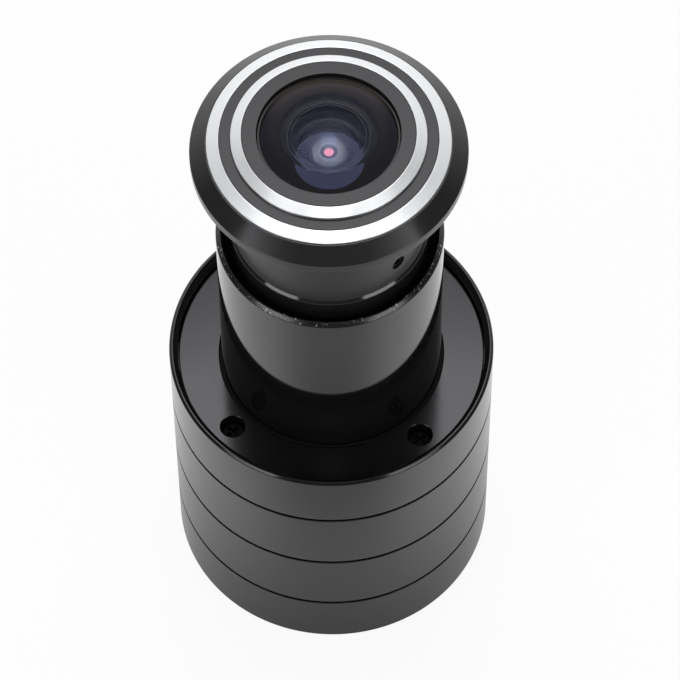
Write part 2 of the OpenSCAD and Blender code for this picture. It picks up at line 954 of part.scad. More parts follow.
module sensor_screws() {
    head_z0 = sensor_board_z0 - sensor_screw_head_h;
    tip_z = holder_z0 + sensor_screw_len - screw_end_gap;
    color(STEEL)
        around(2, 0, sensor_screw_r)
            difference() {
                union() {
                    rod(sensor_screw_head_r, head_z0, sensor_board_z0);
                    rod(sensor_screw_shank_r, sensor_board_z0 - eps, tip_z);
                }
                mirror([0, 0, 1])
                    cross_recess(sensor_screw_head_r, -head_z0);
            }
}

module sensor_flex_socket() {
    color(CREAM_PLASTIC)
        block(socket_size, ribbon_z1);
}

housing_shell();
front_plate();
door_tube();
plate_screws();
rear_cover();
rear_screws();
rear_standoffs();
middle_standoffs();
front_standoffs();
power_board();
main_board();
processor_chip();
memory_chip();
main_flex_socket();
board_header();
wifi_module();
antenna();
usb_socket();
usb_tongue();
reset_switch();
status_led();
light_pipe();
microphone();
mic_boot();
sensor_ribbon();
bezel_barrel();
inner_trim_ring();
outer_trim_ring();
barrel_seals();
lens_lock_screw();
lens_holder();
lens_barrel();
lens_seal();
front_lens();
lens_spacer();
second_lens();
aperture_disc();
rear_lens();
lens_retainer();
infrared_filter();
image_sensor();
sensor_board();
sensor_screws();
sensor_flex_socket();
reset_button();
switch_plunger();
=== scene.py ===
"""Looks of the peephole door camera: turned metal shells, lens glasses, screws, ribbon and finishes."""
import json
import math

import bmesh
import bpy
from mathutils import Matrix, Vector


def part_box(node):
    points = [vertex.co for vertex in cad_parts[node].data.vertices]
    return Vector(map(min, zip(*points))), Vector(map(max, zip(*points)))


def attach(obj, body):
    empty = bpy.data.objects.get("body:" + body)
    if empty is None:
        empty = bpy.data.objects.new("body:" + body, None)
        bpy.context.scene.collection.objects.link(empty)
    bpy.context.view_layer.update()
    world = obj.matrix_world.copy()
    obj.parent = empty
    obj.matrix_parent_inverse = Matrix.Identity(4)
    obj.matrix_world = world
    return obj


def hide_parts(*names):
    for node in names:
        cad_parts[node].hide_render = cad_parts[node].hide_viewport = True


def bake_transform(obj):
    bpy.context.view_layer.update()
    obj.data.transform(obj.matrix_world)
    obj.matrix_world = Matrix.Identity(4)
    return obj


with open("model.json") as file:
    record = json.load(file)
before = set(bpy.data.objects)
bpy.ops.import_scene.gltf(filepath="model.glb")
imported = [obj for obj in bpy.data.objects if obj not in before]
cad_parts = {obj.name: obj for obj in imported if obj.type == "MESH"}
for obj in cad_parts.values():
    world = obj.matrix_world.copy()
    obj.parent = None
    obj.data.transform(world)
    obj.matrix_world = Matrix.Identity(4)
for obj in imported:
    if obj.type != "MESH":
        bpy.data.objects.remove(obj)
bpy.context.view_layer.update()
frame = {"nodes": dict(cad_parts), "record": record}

MM = 0.001

# Camera, in millimetres and degrees, as the photograph was taken
VIEW_ELEVATION = 58.583
VIEW_DISTANCE = 458.46
VIEW_TARGET = Vector((0.957, 0.0, 35.722))
VIEW_ROLL = -0.503
FOCAL_PIXELS = 4196.5
IMAGE_PIXELS = 680
SENSOR_MM = 36.0

# Millimetres, degrees, counts and shares that the boxes of the frame don't give
LIP_WALL = 0.9
LIP_LAND = 0.15
HOUSING_EDGE = 0.25
HOUSING_WALL = 2.0
GROOVE_COUNT = 3
GROOVE_PITCH = 9.5
GROOVE_WIDTH = 0.45
GROOVE_DEPTH = 0.3
LEDGE = 2.0
SEAT_GAP = 0.1
SLIDE_GAP = 0.05
THREAD_GAP = 0.03
HOLE_EDGE = 0.1
OVERCUT = 1.0
FINE_EDGE = 0.03
REGISTER_STEP = 0.3
REGISTER_SINK = 0.6
PLATE_SCREW_PLACE = 0.4
PLATE_SCREW_ANGLE = 41.5
PLATE_SCREW_SHANK_R = 0.7
COUNTERBORE_SHARE = 0.81
COUNTERBORE_DEEP = 2.0
HEAD_GAP = 0.125
SCREW_COUNT = 4
RECESS_LONG = 1.2
RECESS_WIDE = 0.32
PLATE_RECESS = 0.45
TUBE_WALL = 1.5
TUBE_EDGE = 0.4
FOOT = 2.2
MOUTH_WALL = 0.55
MOUTH_DEEP = 5.0
GUIDE_EDGE = 0.3
BARREL_EDGE = 0.3
NECK_CUT = 0.3
NECK_LENGTH = 11.8
SHOULDER = 0.3
FLANGE_DEEP = 3.995
FLANGE_RIM = 1.1
BEVEL = 1.4
BEVEL_LAND = 0.12
FRONT_WALL = 1.5
INNER_TRIM = 1.1
OUTER_TRIM = 1.27
TRIM_LOW = 0.45
SEAL = 0.8
SEAL_GROOVE = 1.2
SEAL_DROPS = (4.0, 8.0)
LOCK_ANGLE = -46.0
LOCK_SCREW_R = 0.8
GLASS_CURVE = 24.0
GLASS_EASE = 0.05
CLEAR_R = 4.75
RIM_SHELL = 0.12
RIM_SKIRT = 0.3
RIM_HOLLOW = 0.65
HAIR = 0.02
BOWL_R = 4.1
BOWL_CURVE = 8.0
BOWL_EASE = 0.36
BOWL_LINE = 0.06
STOP_R = 0.55
STOP_FACE = 0.05
STOP_BRIGHT_R = 2.2
SPACER_HOLE_R = 3.3
SPACER_LIP = 0.3
SECOND_CURVE = 14.0
SECOND_DOME_R = 3.25
SECOND_EDGE = 2.8
REAR_SCREW_R = 0.8
REAR_SCREW_HEAD_R = 1.6
REAR_SCREW_HEAD = 0.95
REAR_SCREW_RING_R = 13.718
REAR_SCREW_ANGLE = 86.5
REAR_RECESS = 0.5
USB_SLOT = (9.34, 3.66)
BUTTON_R = 1.5
BUTTON_LIP = 0.55
BUTTON_NUB_R = 0.8
LIGHT_R = 0.9
MIC_R = 0.5
RIBBON_THICKNESS = 0.3
RIBBON_TURNS = 5
RIBBON_LEAD = 3.0
RIBBON_BEND_R = 2.0

# The button's dished face: share of its radius, depth and rounding
BUTTON_DISH = ((0.0, 0.12, 0.0), (0.7, 0.08, 0.2), (0.86, 0.0, 0.1), (1.0, 0.1, 0.1))

# Floor and room: levels of light, and the metres or slopes between which they change
FLOOR_REACH = 6.0
FLOOR_DROP = 0.00002
FLOOR_PAPER = 0.88
FLOOR_WHITE = 0.92
# The floor's near dims and its shade below are painted shade, seen only in what mirrors the floor
FLOOR_NEAR_REACH = (-0.015, -0.05)
FLOOR_NEAR_SLOPE = (1.2, 0.2)
FLOOR_DIM = (0.38, 0.65)
FLOOR_DIM_REACH = (0.036, 0.046)
FLOOR_SHADE = 0.6
FLOOR_SHADE_REACH = (0.034, 0.012)
ROOM_LOW = 0.12
ROOM_OVERHEAD = 0.3
ROOM_BACK_WALL = 0.85
ROOM_BACK_SLOPE = (0.0, 0.85)

# Lamps: name, shape, metres across, watts, direction from the object and metres away
LAMPS = (
    ("overhead", "DISK", (0.55, 0.55), 3.7, (0.0, 0.29, 0.957), 1.0),
    ("near", "DISK", (0.35, 0.35), 0.6, (0.0, -0.3, 0.954), 1.0),
    ("front_0", "RECTANGLE", (0.4, 0.17), 1.07, (-0.65, -0.6, 0.47), 0.8),
    ("front_1", "RECTANGLE", (0.4, 0.17), 1.07, (0.65, -0.6, 0.47), 0.8),
)

# How finely round things are drawn
SEGMENTS = 192
FINE_SEGMENTS = 96
ARC_STEPS = 5
SLOT_STEPS = 16
BEND_STEPS = 10
SEAL_STEPS = 20
HOLD = 0.06
DOME_STEPS = 32
SHARP_ANGLE = math.radians(34)
LEAST_TURN = 0.02
FILLET_SHARE = 0.45

# Metres within which points are one, and below which an edge has no length
SAME_PLACE = 1e-7
NO_LENGTH = 1e-8


def box_mm(node):
    """Lowest and highest corner of a CAD node, in millimetres."""
    low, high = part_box(node)
    return low / MM, high / MM


def outer_r(node):
    """Outer radius of a CAD node that is round about the axis, in millimetres."""
    return box_mm(node)[1].x


def heights(node):
    """Lowest and highest height of a CAD node, in millimetres."""
    return [corner.z for corner in box_mm(node)]


def middle(node):
    """Middle of a CAD node's box, in millimetres."""
    low, high = box_mm(node)
    return (low + high) / 2


# Node trees


class Link:
    """An output socket in a tree. Arithmetic on it adds Math nodes."""

    def __init__(self, tree, socket):
        self.tree = tree
        self.socket = socket

    def __add__(self, other):
        return self.tree.math("ADD", self, other)

    __radd__ = __add__

    def __sub__(self, other):
        return self.tree.math("SUBTRACT", self, other)

    def __rsub__(self, other):
        return self.tree.math("SUBTRACT", other, self)

    def __mul__(self, other):
        return self.tree.math("MULTIPLY", self, other)

    __rmul__ = __mul__

    def __truediv__(self, other):
        return self.tree.math("DIVIDE", self, other)

    def __rtruediv__(self, other):
        return self.tree.math("DIVIDE", other, self)

    def __pow__(self, other):
        return self.tree.math("POWER", self, other)


class Tree:
    """Adds nodes to a node tree, emptied first, and links them."""

    def __init__(self, nodes):
        self.nodes = nodes
        self.nodes.nodes.clear()

    def node(self, kind, settings=None, sockets=None, out=0):
        """One node: its settings first, then its sockets' values or links. Gives its output."""
        made = self.nodes.nodes.new(kind)
        for name, value in (settings or {}).items():
            setattr(made, name, value)
        for name, value in (sockets or {}).items():
            if isinstance(value, Link):
                self.nodes.links.new(value.socket, made.inputs[name])
            else:
                made.inputs[name].default_value = value
        return Link(self, made.outputs[out]) if len(made.outputs) else None

    def math(self, operation, *values):
        return self.node("ShaderNodeMath", {"operation": operation}, dict(enumerate(values)))

    def clamp(self, value):
        return self.node("ShaderNodeClamp", {}, {"Value": value})

    def rise(self, value, low, high):
        """0 below low, 1 above high, smooth between them."""
        settings = {"interpolation_type": "SMOOTHSTEP"}
        return self.node("ShaderNodeMapRange", settings, {"Value": value, "From Min": low, "From Max": high})

    def vector(self, operation, *values):
        return self.node("ShaderNodeVectorMath", {"operation": operation}, dict(enumerate(values)))

    def mix(self, factor, first, second):
        """A colour between two colours."""
        settings = {"data_type": "RGBA"}
        return self.node("ShaderNodeMix", settings, {"Factor": factor, 6: first, 7: second}, 2)

    def mix_shaders(self, factor, first, second):
        return self.node("ShaderNodeMixShader", {}, {0: factor, 1: first, 2: second})

    def split(self, vector):
        made = self.nodes.nodes.new("ShaderNodeSeparateXYZ")
        self.nodes.links.new(vector.socket, made.inputs[0])
        return [Link(self, socket) for socket in made.outputs]

    def join(self, x, y, z):
        return self.node("ShaderNodeCombineXYZ", {}, {0: x, 1: y, 2: z})

    def noise(self, vector, scale, detail=2.0, roughness=0.5):
        sockets = {"Vector": vector, "Scale": scale, "Detail": detail, "Roughness": roughness}
        return self.node("ShaderNodeTexNoise", {}, sockets)


class Finish(Tree):
    """A material: its surface nodes work on the piece's own place, in millimetres."""

    def __init__(self, name):
        self.material = bpy.data.materials.new(name)
        self.material.use_nodes = True
        super().__init__(self.material.node_tree)
        place = self.node("ShaderNodeTexCoord", out="Object")
        self.place = self.vector("MULTIPLY", place, (1 / MM,) * 3)
        self.x, self.y, self.z = self.split(self.place)
        self.radius = (self.x * self.x + self.y * self.y) ** 0.5

    def turned_lines(self, fineness, drift=0.15):
        """Fine rings left by a lathe: noise that runs along radius and height, and hardly around."""
        around = self.vector("MULTIPLY", self.place, (drift, drift, 0.0))
        lines = self.join(self.radius * fineness, self.z * fineness, 0.0)
        return self.noise(self.vector("ADD", lines, around), 1.0, 3.0, 0.6)

    def dust(self, spacing, size, share):
        """A mask of specks: a small spot in some of the cells of a loose grid, sizes in millimetres."""
        cells = {"Vector": self.place, "Scale": 1 / spacing}
        near = self.node("ShaderNodeTexVoronoi", {}, cells, "Distance")
        chance = self.split(self.node("ShaderNodeTexVoronoi", {}, cells, "Color"))[0]
        spot = self.rise(near, size / spacing, 0.6 * size / spacing)
        return spot * self.rise(chance, share + 0.01, share)

    def stripes(self, along):
        """Waves from -1 to 1 along a measure in millimetres, one for each contact or track."""
        return self.math("SINE", along * (math.tau / STRIPE_PITCH))

    def bump(self, height, strength, distance):
        sockets = {"Height": height, "Strength": strength, "Distance": distance * MM}
        return self.node("ShaderNodeBump", {}, sockets)

    def surface(self, **sockets):
        """The shader, with each socket named in plain words: base_color, roughness and so on."""
        named = {words.replace("_", " ").title().replace("Ior", "IOR"): v for words, v in sockets.items()}
        return self.node("ShaderNodeBsdfPrincipled", {}, named)

    def done(self, shader):
        self.node("ShaderNodeOutputMaterial", {}, {"Surface": shader})
        return self.material


# Shapes


def fillet(before, here, after, radius=0.0):
    """Points that round the corner at here, between the points before and after it."""
    into, out = before - here, after - here
    turn = math.pi - into.angle(out)
    if turn < LEAST_TURN or not radius:
        return [here]
    reach = min(radius * math.tan(turn / 2), FILLET_SHARE * into.length, FILLET_SHARE * out.length)
    start, end = here + into.normalized() * reach, here + out.normalized() * reach
    shares = [k / ARC_STEPS for k in range(ARC_STEPS + 1)]
    return [start.lerp(here, t).lerp(here.lerp(end, t), t) for t in shares]


def rounded(corners):
    """Points of a closed outline from corners (radius, height) or (radius, height, rounding).

    Each straight stretch also gets a point close to each of its ends, so that it shades flat."""
    places = [Vector(corner[:2]) for corner in corners]
    after = places[1:] + places[:1]
    runs = [fillet(places[i - 1], places[i], after[i], *corner[2:]) for i, corner in enumerate(corners)]
    points = []
    for run, following in zip(runs, runs[1:] + runs[:1]):
        points += run
        ahead = following[0] - run[-1]
        if ahead.length > 4 * HOLD:
            points.append(run[-1] + ahead.normalized() * HOLD)
            points.append(run[-1] + ahead - ahead.normalized() * HOLD)
    return points


def edge_chain(name, points, closed):
    """A mesh of points in the XZ plane, joined by edges, in metres."""
    mesh = bpy.data.meshes.new(name)
    count = len(points)
    edges = [(i, (i + 1) % count) for i in range(count if closed else count - 1)]
    mesh.from_pydata([(p[0] * MM, 0.0, p[1] * MM) for p in points], edges, [])
    return mesh


def new_tree(name, inputs):
    """An empty geometry tree with its named inputs. Gives the tree, its inputs and their identifiers."""
    group = bpy.data.node_groups.new(name, "GeometryNodeTree")
    identifiers = {}
    for label, kind in inputs.items():
        made = group.interface.new_socket(label, in_out="INPUT", socket_type="NodeSocket" + kind)
        identifiers[label] = made.identifier
    group.interface.new_socket("Result", in_out="OUTPUT", socket_type="NodeSocketGeometry")
    tree = Tree(group)
    entry = group.nodes.new("NodeGroupInput")
    return tree, {label: Link(tree, entry.outputs[label]) for label in inputs}, identifiers


def end_tree(tree, geometry, finish):
    whole = tree.node("GeometryNodeRealizeInstances", {}, {"Geometry": geometry})
    painted = tree.node("GeometryNodeSetMaterial", {}, {"Geometry": whole, "Material": finish})
    tree.node("NodeGroupOutput", {}, {"Result": painted})


def turning_tree():
    """Turns an outline around Z: a grid's points take their places from it, turned by their columns."""
    inputs = {"Outline": "Geometry", "Segments": "Int", "Finish": "Material"}
    tree, given, identifiers = new_tree("turning", inputs)
    sockets = {"Geometry": given["Outline"]}
    corners = tree.node("GeometryNodeAttributeDomainSize", {"component": "MESH"}, sockets, "Point Count")
    columns = given["Segments"] + 1
    sockets = {"Size X": 1.0, "Size Y": 1.0, "Vertices X": corners + 1, "Vertices Y": columns}
    grid = tree.node("GeometryNodeMeshGrid", {}, sockets, "Mesh")
    index = tree.node("GeometryNodeInputIndex")
    row = tree.math("FLOOR", (index + 0.5) / columns)
    column = index - row * columns
    sockets = {
        "Geometry": given["Outline"],
        "Value": tree.node("GeometryNodeInputPosition"),
        "Index": tree.math("MODULO", row, corners),
    }
    corner = tree.node("GeometryNodeSampleIndex", {"data_type": "FLOAT_VECTOR", "domain": "POINT"}, sockets)
    sockets = {"Vector": corner, "Angle": column * math.tau / given["Segments"]}
    place = tree.node("ShaderNodeVectorRotate", {"rotation_type": "Z_AXIS"}, sockets)
    turned = tree.node("GeometryNodeSetPosition", {}, {"Geometry": grid, "Position": place})
    closed = tree.node("GeometryNodeMergeByDistance", {}, {"Geometry": turned, "Distance": SAME_PLACE})
    end_tree(tree, closed, given["Finish"])
    return tree.nodes, identifiers


def ring_tree():
    """Sets copies of a piece on a circle around Z, each turned outwards."""
    inputs = {"Piece": "Geometry", "Count": "Int", "Radius": "Float", "First": "Float", "Finish": "Material"}
    tree, given, identifiers = new_tree("ring_of_copies", inputs)
    index = tree.node("GeometryNodeInputIndex")
    turn = given["First"] + index * math.tau / given["Count"]
    sockets = {"Vector": tree.join(given["Radius"], 0.0, 0.0), "Angle": turn}
    place = tree.node("ShaderNodeVectorRotate", {"rotation_type": "Z_AXIS"}, sockets)
    points = tree.node("GeometryNodePoints", {}, {"Count": given["Count"], "Position": place})
    sockets = {"Points": points, "Instance": given["Piece"], "Rotation": tree.join(0.0, 0.0, turn)}
    end_tree(tree, tree.node("GeometryNodeInstanceOnPoints", {}, sockets), given["Finish"])
    return tree.nodes, identifiers


def band_tree():
    """Draws a flat band along a route that lies in the XZ plane."""
    inputs = {"Route": "Geometry", "Width": "Float", "Thickness": "Float", "Finish": "Material"}
    tree, given, identifiers = new_tree("flat_band", inputs)
    route = tree.node("GeometryNodeMeshToCurve", {}, {"Mesh": given["Route"]})
    sockets = {"Curve": route, "Normal": (0.0, 1.0, 0.0)}
    route = tree.node("GeometryNodeSetCurveNormal", {"mode": "FREE"}, sockets)
    sockets = {"Width": given["Width"], "Height": given["Thickness"]}
    section = tree.node("GeometryNodeCurvePrimitiveQuadrilateral", {"mode": "RECTANGLE"}, sockets)
    sockets = {"Curve": route, "Profile Curve": section, "Fill Caps": True}
    end_tree(tree, tree.node("GeometryNodeCurveToMesh", {}, sockets), given["Finish"])
    return tree.nodes, identifiers


TURNING = turning_tree()
RING = ring_tree()
BAND = band_tree()


def placed(name, data):
    """A new object in the scene."""
    made = bpy.data.objects.new(name, data)
    bpy.context.scene.collection.objects.link(made)
    return made


def grown(name, mesh, recipe, **values):
    """A plain mesh object grown from a start mesh by a geometry tree, with its inputs by name."""
    tree, identifiers = recipe
    piece = placed(name, mesh)
    modifier = piece.modifiers.new("grow", "NODES")
    modifier.node_group = tree
    for label, value in values.items():
        modifier[identifiers[label]] = value
    return settle(piece)


def settle(piece):
    """Makes what the modifiers give the piece's own mesh, closed, facing outwards and sharp at its edges."""
    depsgraph = bpy.context.evaluated_depsgraph_get()
    mesh = bpy.data.meshes.new_from_object(piece.evaluated_get(depsgraph))
    piece.modifiers.clear()
    piece.data = mesh
    mesh.name = piece.name
    work = bmesh.new()
    work.from_mesh(mesh)
    bmesh.ops.remove_doubles(work, verts=work.verts, dist=SAME_PLACE)
    bmesh.ops.dissolve_degenerate(work, edges=work.edges, dist=NO_LENGTH)
    bmesh.ops.recalc_face_normals(work, faces=work.faces)
    for face in work.faces:
        face.smooth = True
    work.to_mesh(mesh)
    work.free()
    mesh.set_sharp_from_angle(angle=SHARP_ANGLE)
    return piece


def turned(name, outline, finish, segments=SEGMENTS):
    return grown(name, edge_chain(name, outline, True), TURNING, Segments=segments, Finish=finish)


def ring_of(name, piece, radius, first, finish):
    """Copies of a piece around the axis, at a radius in millimetres and a first direction in degrees."""
    mesh = piece.data
    bpy.data.objects.remove(piece)
    values = {"Count": SCREW_COUNT, "Radius": radius * MM, "First": math.radians(first), "Finish": finish}
    return grown(name, mesh, RING, **values)


def moved(piece, place, turn=None):
    """Shifts a piece's mesh by millimetres, after an optional turn."""
    matrix = Matrix.Translation(Vector(place) * MM)
    piece.data.transform(matrix @ turn if turn else matrix)
    return piece


def cut(piece, *cutters):
    """Cuts other closed pieces out of a piece and removes them."""
    for cutter in cutters:
        modifier = piece.modifiers.new("cut", "BOOLEAN")
        modifier.operation = "DIFFERENCE"
        modifier.solver = "EXACT"
        modifier.object = cutter
    settle(piece)
    for cutter in cutters:
        bpy.data.objects.remove(cutter)
    return piece


def join(piece, other):
    """Adds another piece's mesh to a piece and removes the other."""
    work = bmesh.new()
    work.from_mesh(piece.data)
    work.from_mesh(other.data)
    work.to_mesh(piece.data)
    work.free()
    bpy.data.objects.remove(other)


def drawn(name, work):
    """A piece with the mesh that was drawn."""
    mesh = bpy.data.meshes.new(name)
    work.to_mesh(mesh)
    work.free()
    return placed(name, mesh)


def cross_recess(head_r, depth, face):
    """Two crossed blocks that cut a cross recess into a screw head's face."""
    blocks = []
    for long, wide in ((RECESS_LONG, RECESS_WIDE), (RECESS_WIDE, RECESS_LONG)):
        work = bmesh.new()
        bmesh.ops.create_cube(work, size=MM)
        bmesh.ops.scale(work, vec=(long * head_r, wide * head_r, 2 * depth), verts=work.verts)
        bmesh.ops.translate(work, vec=(0.0, 0.0, face * MM), verts=work.verts)
        blocks.append(drawn("recess", work))
    return blocks


def slot_piece(name, levels):
    """A closed loft through slots with round ends: (length, width, height) at each level, in millimetres."""
    work = bmesh.new()
    loops = []
    for length, width, height in levels:
        loop = []
        for side in (1, -1):
            for k in range(SLOT_STEPS + 1):
                turn = math.pi * (k / SLOT_STEPS - 0.5) + (0 if side > 0 else math.pi)
                x = side * (length - width) / 2 + width / 2 * math.cos(turn)
                loop.append(work.verts.new((x * MM, width / 2 * math.sin(turn) * MM, height * MM)))
        loops.append(loop)
    for lower, upper in zip(loops, loops[1:]):
        for k in range(len(lower)):
            follow = (k + 1) % len(lower)
            work.faces.new((lower[k], lower[follow], upper[follow], upper[k]))
    work.faces.new(list(reversed(loops[0])))
    work.faces.new(loops[-1])
    bmesh.ops.recalc_face_normals(work, faces=work.faces)
    return drawn(name, work)


def dome_height(curve, reach, radius):
    """Height of a dome of the given curve at a radius, above its edge at a reach."""
    return math.sqrt(curve ** 2 - radius ** 2) - math.sqrt(curve ** 2 - reach ** 2)


def cap_arc(curve, reach, height):
    """Points of a dome of the given curve, from its edge at a reach up to the axis."""
    radii = [reach * math.cos(math.pi / 2 * k / DOME_STEPS) for k in range(DOME_STEPS + 1)]
    return [(r, height + dome_height(curve, reach, r)) for r in radii]


# Sizes taken from the CAD
HOUSING_R = outer_r("housing_shell")
HOUSING_H = heights("housing_shell")[1]
BORE_R = HOUSING_R - HOUSING_WALL
LIP_R = HOUSING_R - LIP_WALL
PLATE_R = outer_r("front_plate")
PLATE_BOTTOM, PLATE_TOP = heights("front_plate")
COVER_BOTTOM, COVER_TOP = heights("rear_cover")
TUBE_R = next(m["dims"]["r_mm"] for m in frame["record"]["mounts"] if m["name"] == "door_tube")
TUBE_BOTTOM, TUBE_TOP = heights("door_tube")
MOUTH_R = TUBE_R - MOUTH_WALL
REGISTER_R = TUBE_R + REGISTER_STEP
REGISTER_HOLE_R = REGISTER_R + SLIDE_GAP
GUIDE_R = TUBE_R - TUBE_WALL
BARREL_R = GUIDE_R - SLIDE_GAP
BARREL_BORE_R = outer_r("lens_holder") + SEAT_GAP
BEZEL_BOTTOM, BEZEL_FACE = heights("bezel_barrel")
FLANGE_BACK = BEZEL_FACE - FLANGE_DEEP
NECK_R = BARREL_R - NECK_CUT
NECK_BOTTOM = FLANGE_BACK - NECK_LENGTH
WINDOW_R = outer_r("lens_barrel") + SEAT_GAP
SCREW_RING = BORE_R - REGISTER_HOLE_R
PLATE_SCREW_RING_R = BORE_R - PLATE_SCREW_PLACE * SCREW_RING
COUNTERBORE_R = COUNTERBORE_SHARE * SCREW_RING / 2
SCREW_SEAT = PLATE_TOP - COUNTERBORE_DEEP

# Finishes

# Gloss of black anodised metal, a little cool, and a quarter turn that spreads gloss across turned rings
COOL_GLOSS = (0.96, 0.95, 1.0, 1.0)
ACROSS_RINGS = 0.25

# Share of plain glass's gloss that the front glass's coating and the paint behind it have
VIOLET_COATING = (0.135, 0.155, 0.33, 1.0)
WARM_PAINT = (0.175, 0.15, 0.128, 1.0)

# How dull the housing's front edge is, and millimetres over which finishes pass into each other
LIP_DULL = 0.38
FADE = 0.1
RIM_FADE = 2.0
STOP_FADE = 0.5

# Millimetres below the tube's top between which its worn edge begins, and from one track to the next
WORN_EDGE = (0.45, 0.3)
STRIPE_PITCH = 0.5


def grey(level, tint=(1.0, 1.0, 1.0)):
    return (level * tint[0], level * tint[1], level * tint[2], 1.0)


def doubled(colour):
    """A gloss twice as strong, for a shader that gets half of a mix."""
    return (2 * colour[0], 2 * colour[1], 2 * colour[2], 1.0)


def satin_black():
    """Black metal of the bezel: blasted flats, a smoother bevel, a satin neck, a polished barrel, dust."""
    f = Finish("satin_black")
    grain = f.noise(f.place, 9.0, 3.0, 0.6)
    lines = f.turned_lines(14.0)
    cloud = f.noise(f.place, 0.35, 2.0)
    flats_r = outer_r("outer_trim_ring")
    front = f.rise(f.z, FLANGE_BACK - FADE, FLANGE_BACK + FADE)
    blasted = front * f.rise(f.radius, flats_r + FADE, flats_r - FADE)
    polished = f.rise(f.z, NECK_BOTTOM + FADE, NECK_BOTTOM)
    dust = f.dust(3.0, 0.09, 0.12)
    base = f.mix(cloud, grey(0.009), grey(0.015, (1.03, 1.0, 0.97)))
    return f.done(f.surface(
        base_color=f.mix(dust, base, grey(0.3)),
        roughness=0.34 - front * 0.17 - polished * 0.26 + cloud * 0.03
        + blasted * (0.13 + grain * 0.1) + dust * 0.3,
        specular_ior_level=0.46,
        specular_tint=COOL_GLOSS,
        normal=f.bump((grain * 0.7 + lines * 0.3) * (0.15 + blasted) + dust, 0.3, 0.006),
    ))


def gloss_black(name, roughness, gloss, spread=0.0, dull_above=None):
    """Black anodised metal of housing and plate: turned and polished, with fine rings and dust, and
    duller above a height where one is given."""
    f = Finish(name)
    lines = f.turned_lines(10.0, 0.05)
    cloud = f.noise(f.place, 0.25, 2.0)
    dust = f.dust(4.0, 0.1, 0.1)
    polished = f.surface(
        base_color=f.mix(dust, f.mix(cloud, grey(0.005), grey(0.008, (1.0, 1.0, 1.1))), grey(0.25)),
        roughness=roughness + cloud * 0.04 + lines * 0.03 + dust * 0.3,
        specular_ior_level=gloss,
        specular_tint=COOL_GLOSS,
        anisotropic=spread,
        anisotropic_rotation=ACROSS_RINGS,
        normal=f.bump(lines, 0.06, 0.004),
    )
    if dull_above is None:
        return f.done(polished)
    dull = f.surface(base_color=grey(0.002), roughness=0.6, specular_ior_level=0.1)
    edge = f.rise(f.z, dull_above, dull_above + FADE)
    return f.done(f.mix_shaders(edge * LIP_DULL, polished, dull))


def worn_tube():
    """The same black on the tube: a mirror outside, with metal showing at small nicks along its edge, and
    dull in its mouth and below the plate."""
    f = Finish("worn_tube")
    lines = f.turned_lines(10.0, 0.05)
    cloud = f.noise(f.place, 0.25, 2.0)
    nicks = f.noise(f.place, 2.6, 4.0, 0.7)
    near_edge = f.rise(f.z, TUBE_TOP - WORN_EDGE[0], TUBE_TOP - WORN_EDGE[1])
    dull = f.rise(f.z, PLATE_TOP, PLATE_TOP - FADE) + f.rise(f.radius, MOUTH_R + FADE, MOUTH_R)
    bare = f.rise(nicks, 0.6, 0.66) * near_edge
    dust = f.dust(3.5, 0.1, 0.12)
    return f.done(f.surface(
        base_color=f.mix(dust, f.mix(bare, grey(0.006), grey(0.5)), grey(0.25)),
        metallic=bare,
        roughness=0.035 + cloud * 0.03 + near_edge * nicks * 0.4 + bare * 0.2 + dust * 0.3 + dull * 0.9,
        specular_ior_level=0.52,
        specular_tint=COOL_GLOSS,
        normal=f.bump(lines - bare, 0.04, 0.003),
    ))


def bright_metal():
    """Bright turned metal of the two rings, with fine circular lines that spread what it mirrors."""
    f = Finish("bright_metal")
    lines = f.turned_lines(16.0, 0.2)
    broad = f.turned_lines(4.0, 0.6)
    return f.done(f.surface(
        base_color=f.mix(lines, grey(0.68, (0.96, 0.98, 1.0)), grey(0.84, (0.97, 0.99, 1.0))),
        metallic=1.0,
        roughness=0.25 + broad * 0.12,
        anisotropic=0.96,
        anisotropic_rotation=ACROSS_RINGS,
        normal=f.bump(lines * 0.8 + broad * 0.4, 0.3, 0.01),
    ))


def lens_black():
    """Matte black inside the lens, with fine thread-like rings."""
    f = Finish("lens_black")
    grain = f.noise(f.place, 12.0, 2.0)
    rings = f.math("SINE", (f.z + f.radius * 0.4) * 26.0)
    return f.done(f.surface(
        base_color=f.mix(grain, grey(0.006), grey(0.014)),
        roughness=0.42 + grain * 0.15,
        specular_ior_level=0.4,
        normal=f.bump(rings * 0.5 + grain * 0.5, 0.3, 0.01),
    ))


def plain(name, noise, shades, roughness, relief=None, **sockets):
    """A finish of one noise, given by scale and detail: it runs between two shades and adds to the least
    roughness. A relief, given by strength and millimetres, follows it. Other sockets hold one value."""
    f = Finish(name)
    grain = f.noise(f.place, *noise)
    sockets["base_color"] = f.mix(grain, *shades)
    sockets["roughness"] = roughness[0] + grain * roughness[1]
    if relief:
        sockets["normal"] = f.bump(grain, *relief)
    return f.done(f.surface(**sockets))


def barrel_black():
    """Satin black of the lens barrel."""
    shades = grey(0.006), grey(0.012)
    return plain("barrel_black", (12.0, 2.0), shades, (0.26, 0.08), specular_ior_level=0.3)


def painted_black():
    """Smooth dark paint in the slope under the front glass."""
    shades = grey(0.02, (0.8, 1.0, 1.25)), grey(0.028, (0.85, 1.0, 1.2))
    return plain("painted_black", (0.6, 2.0), shades, (0.3, 0.04), specular_tint=WARM_PAINT)


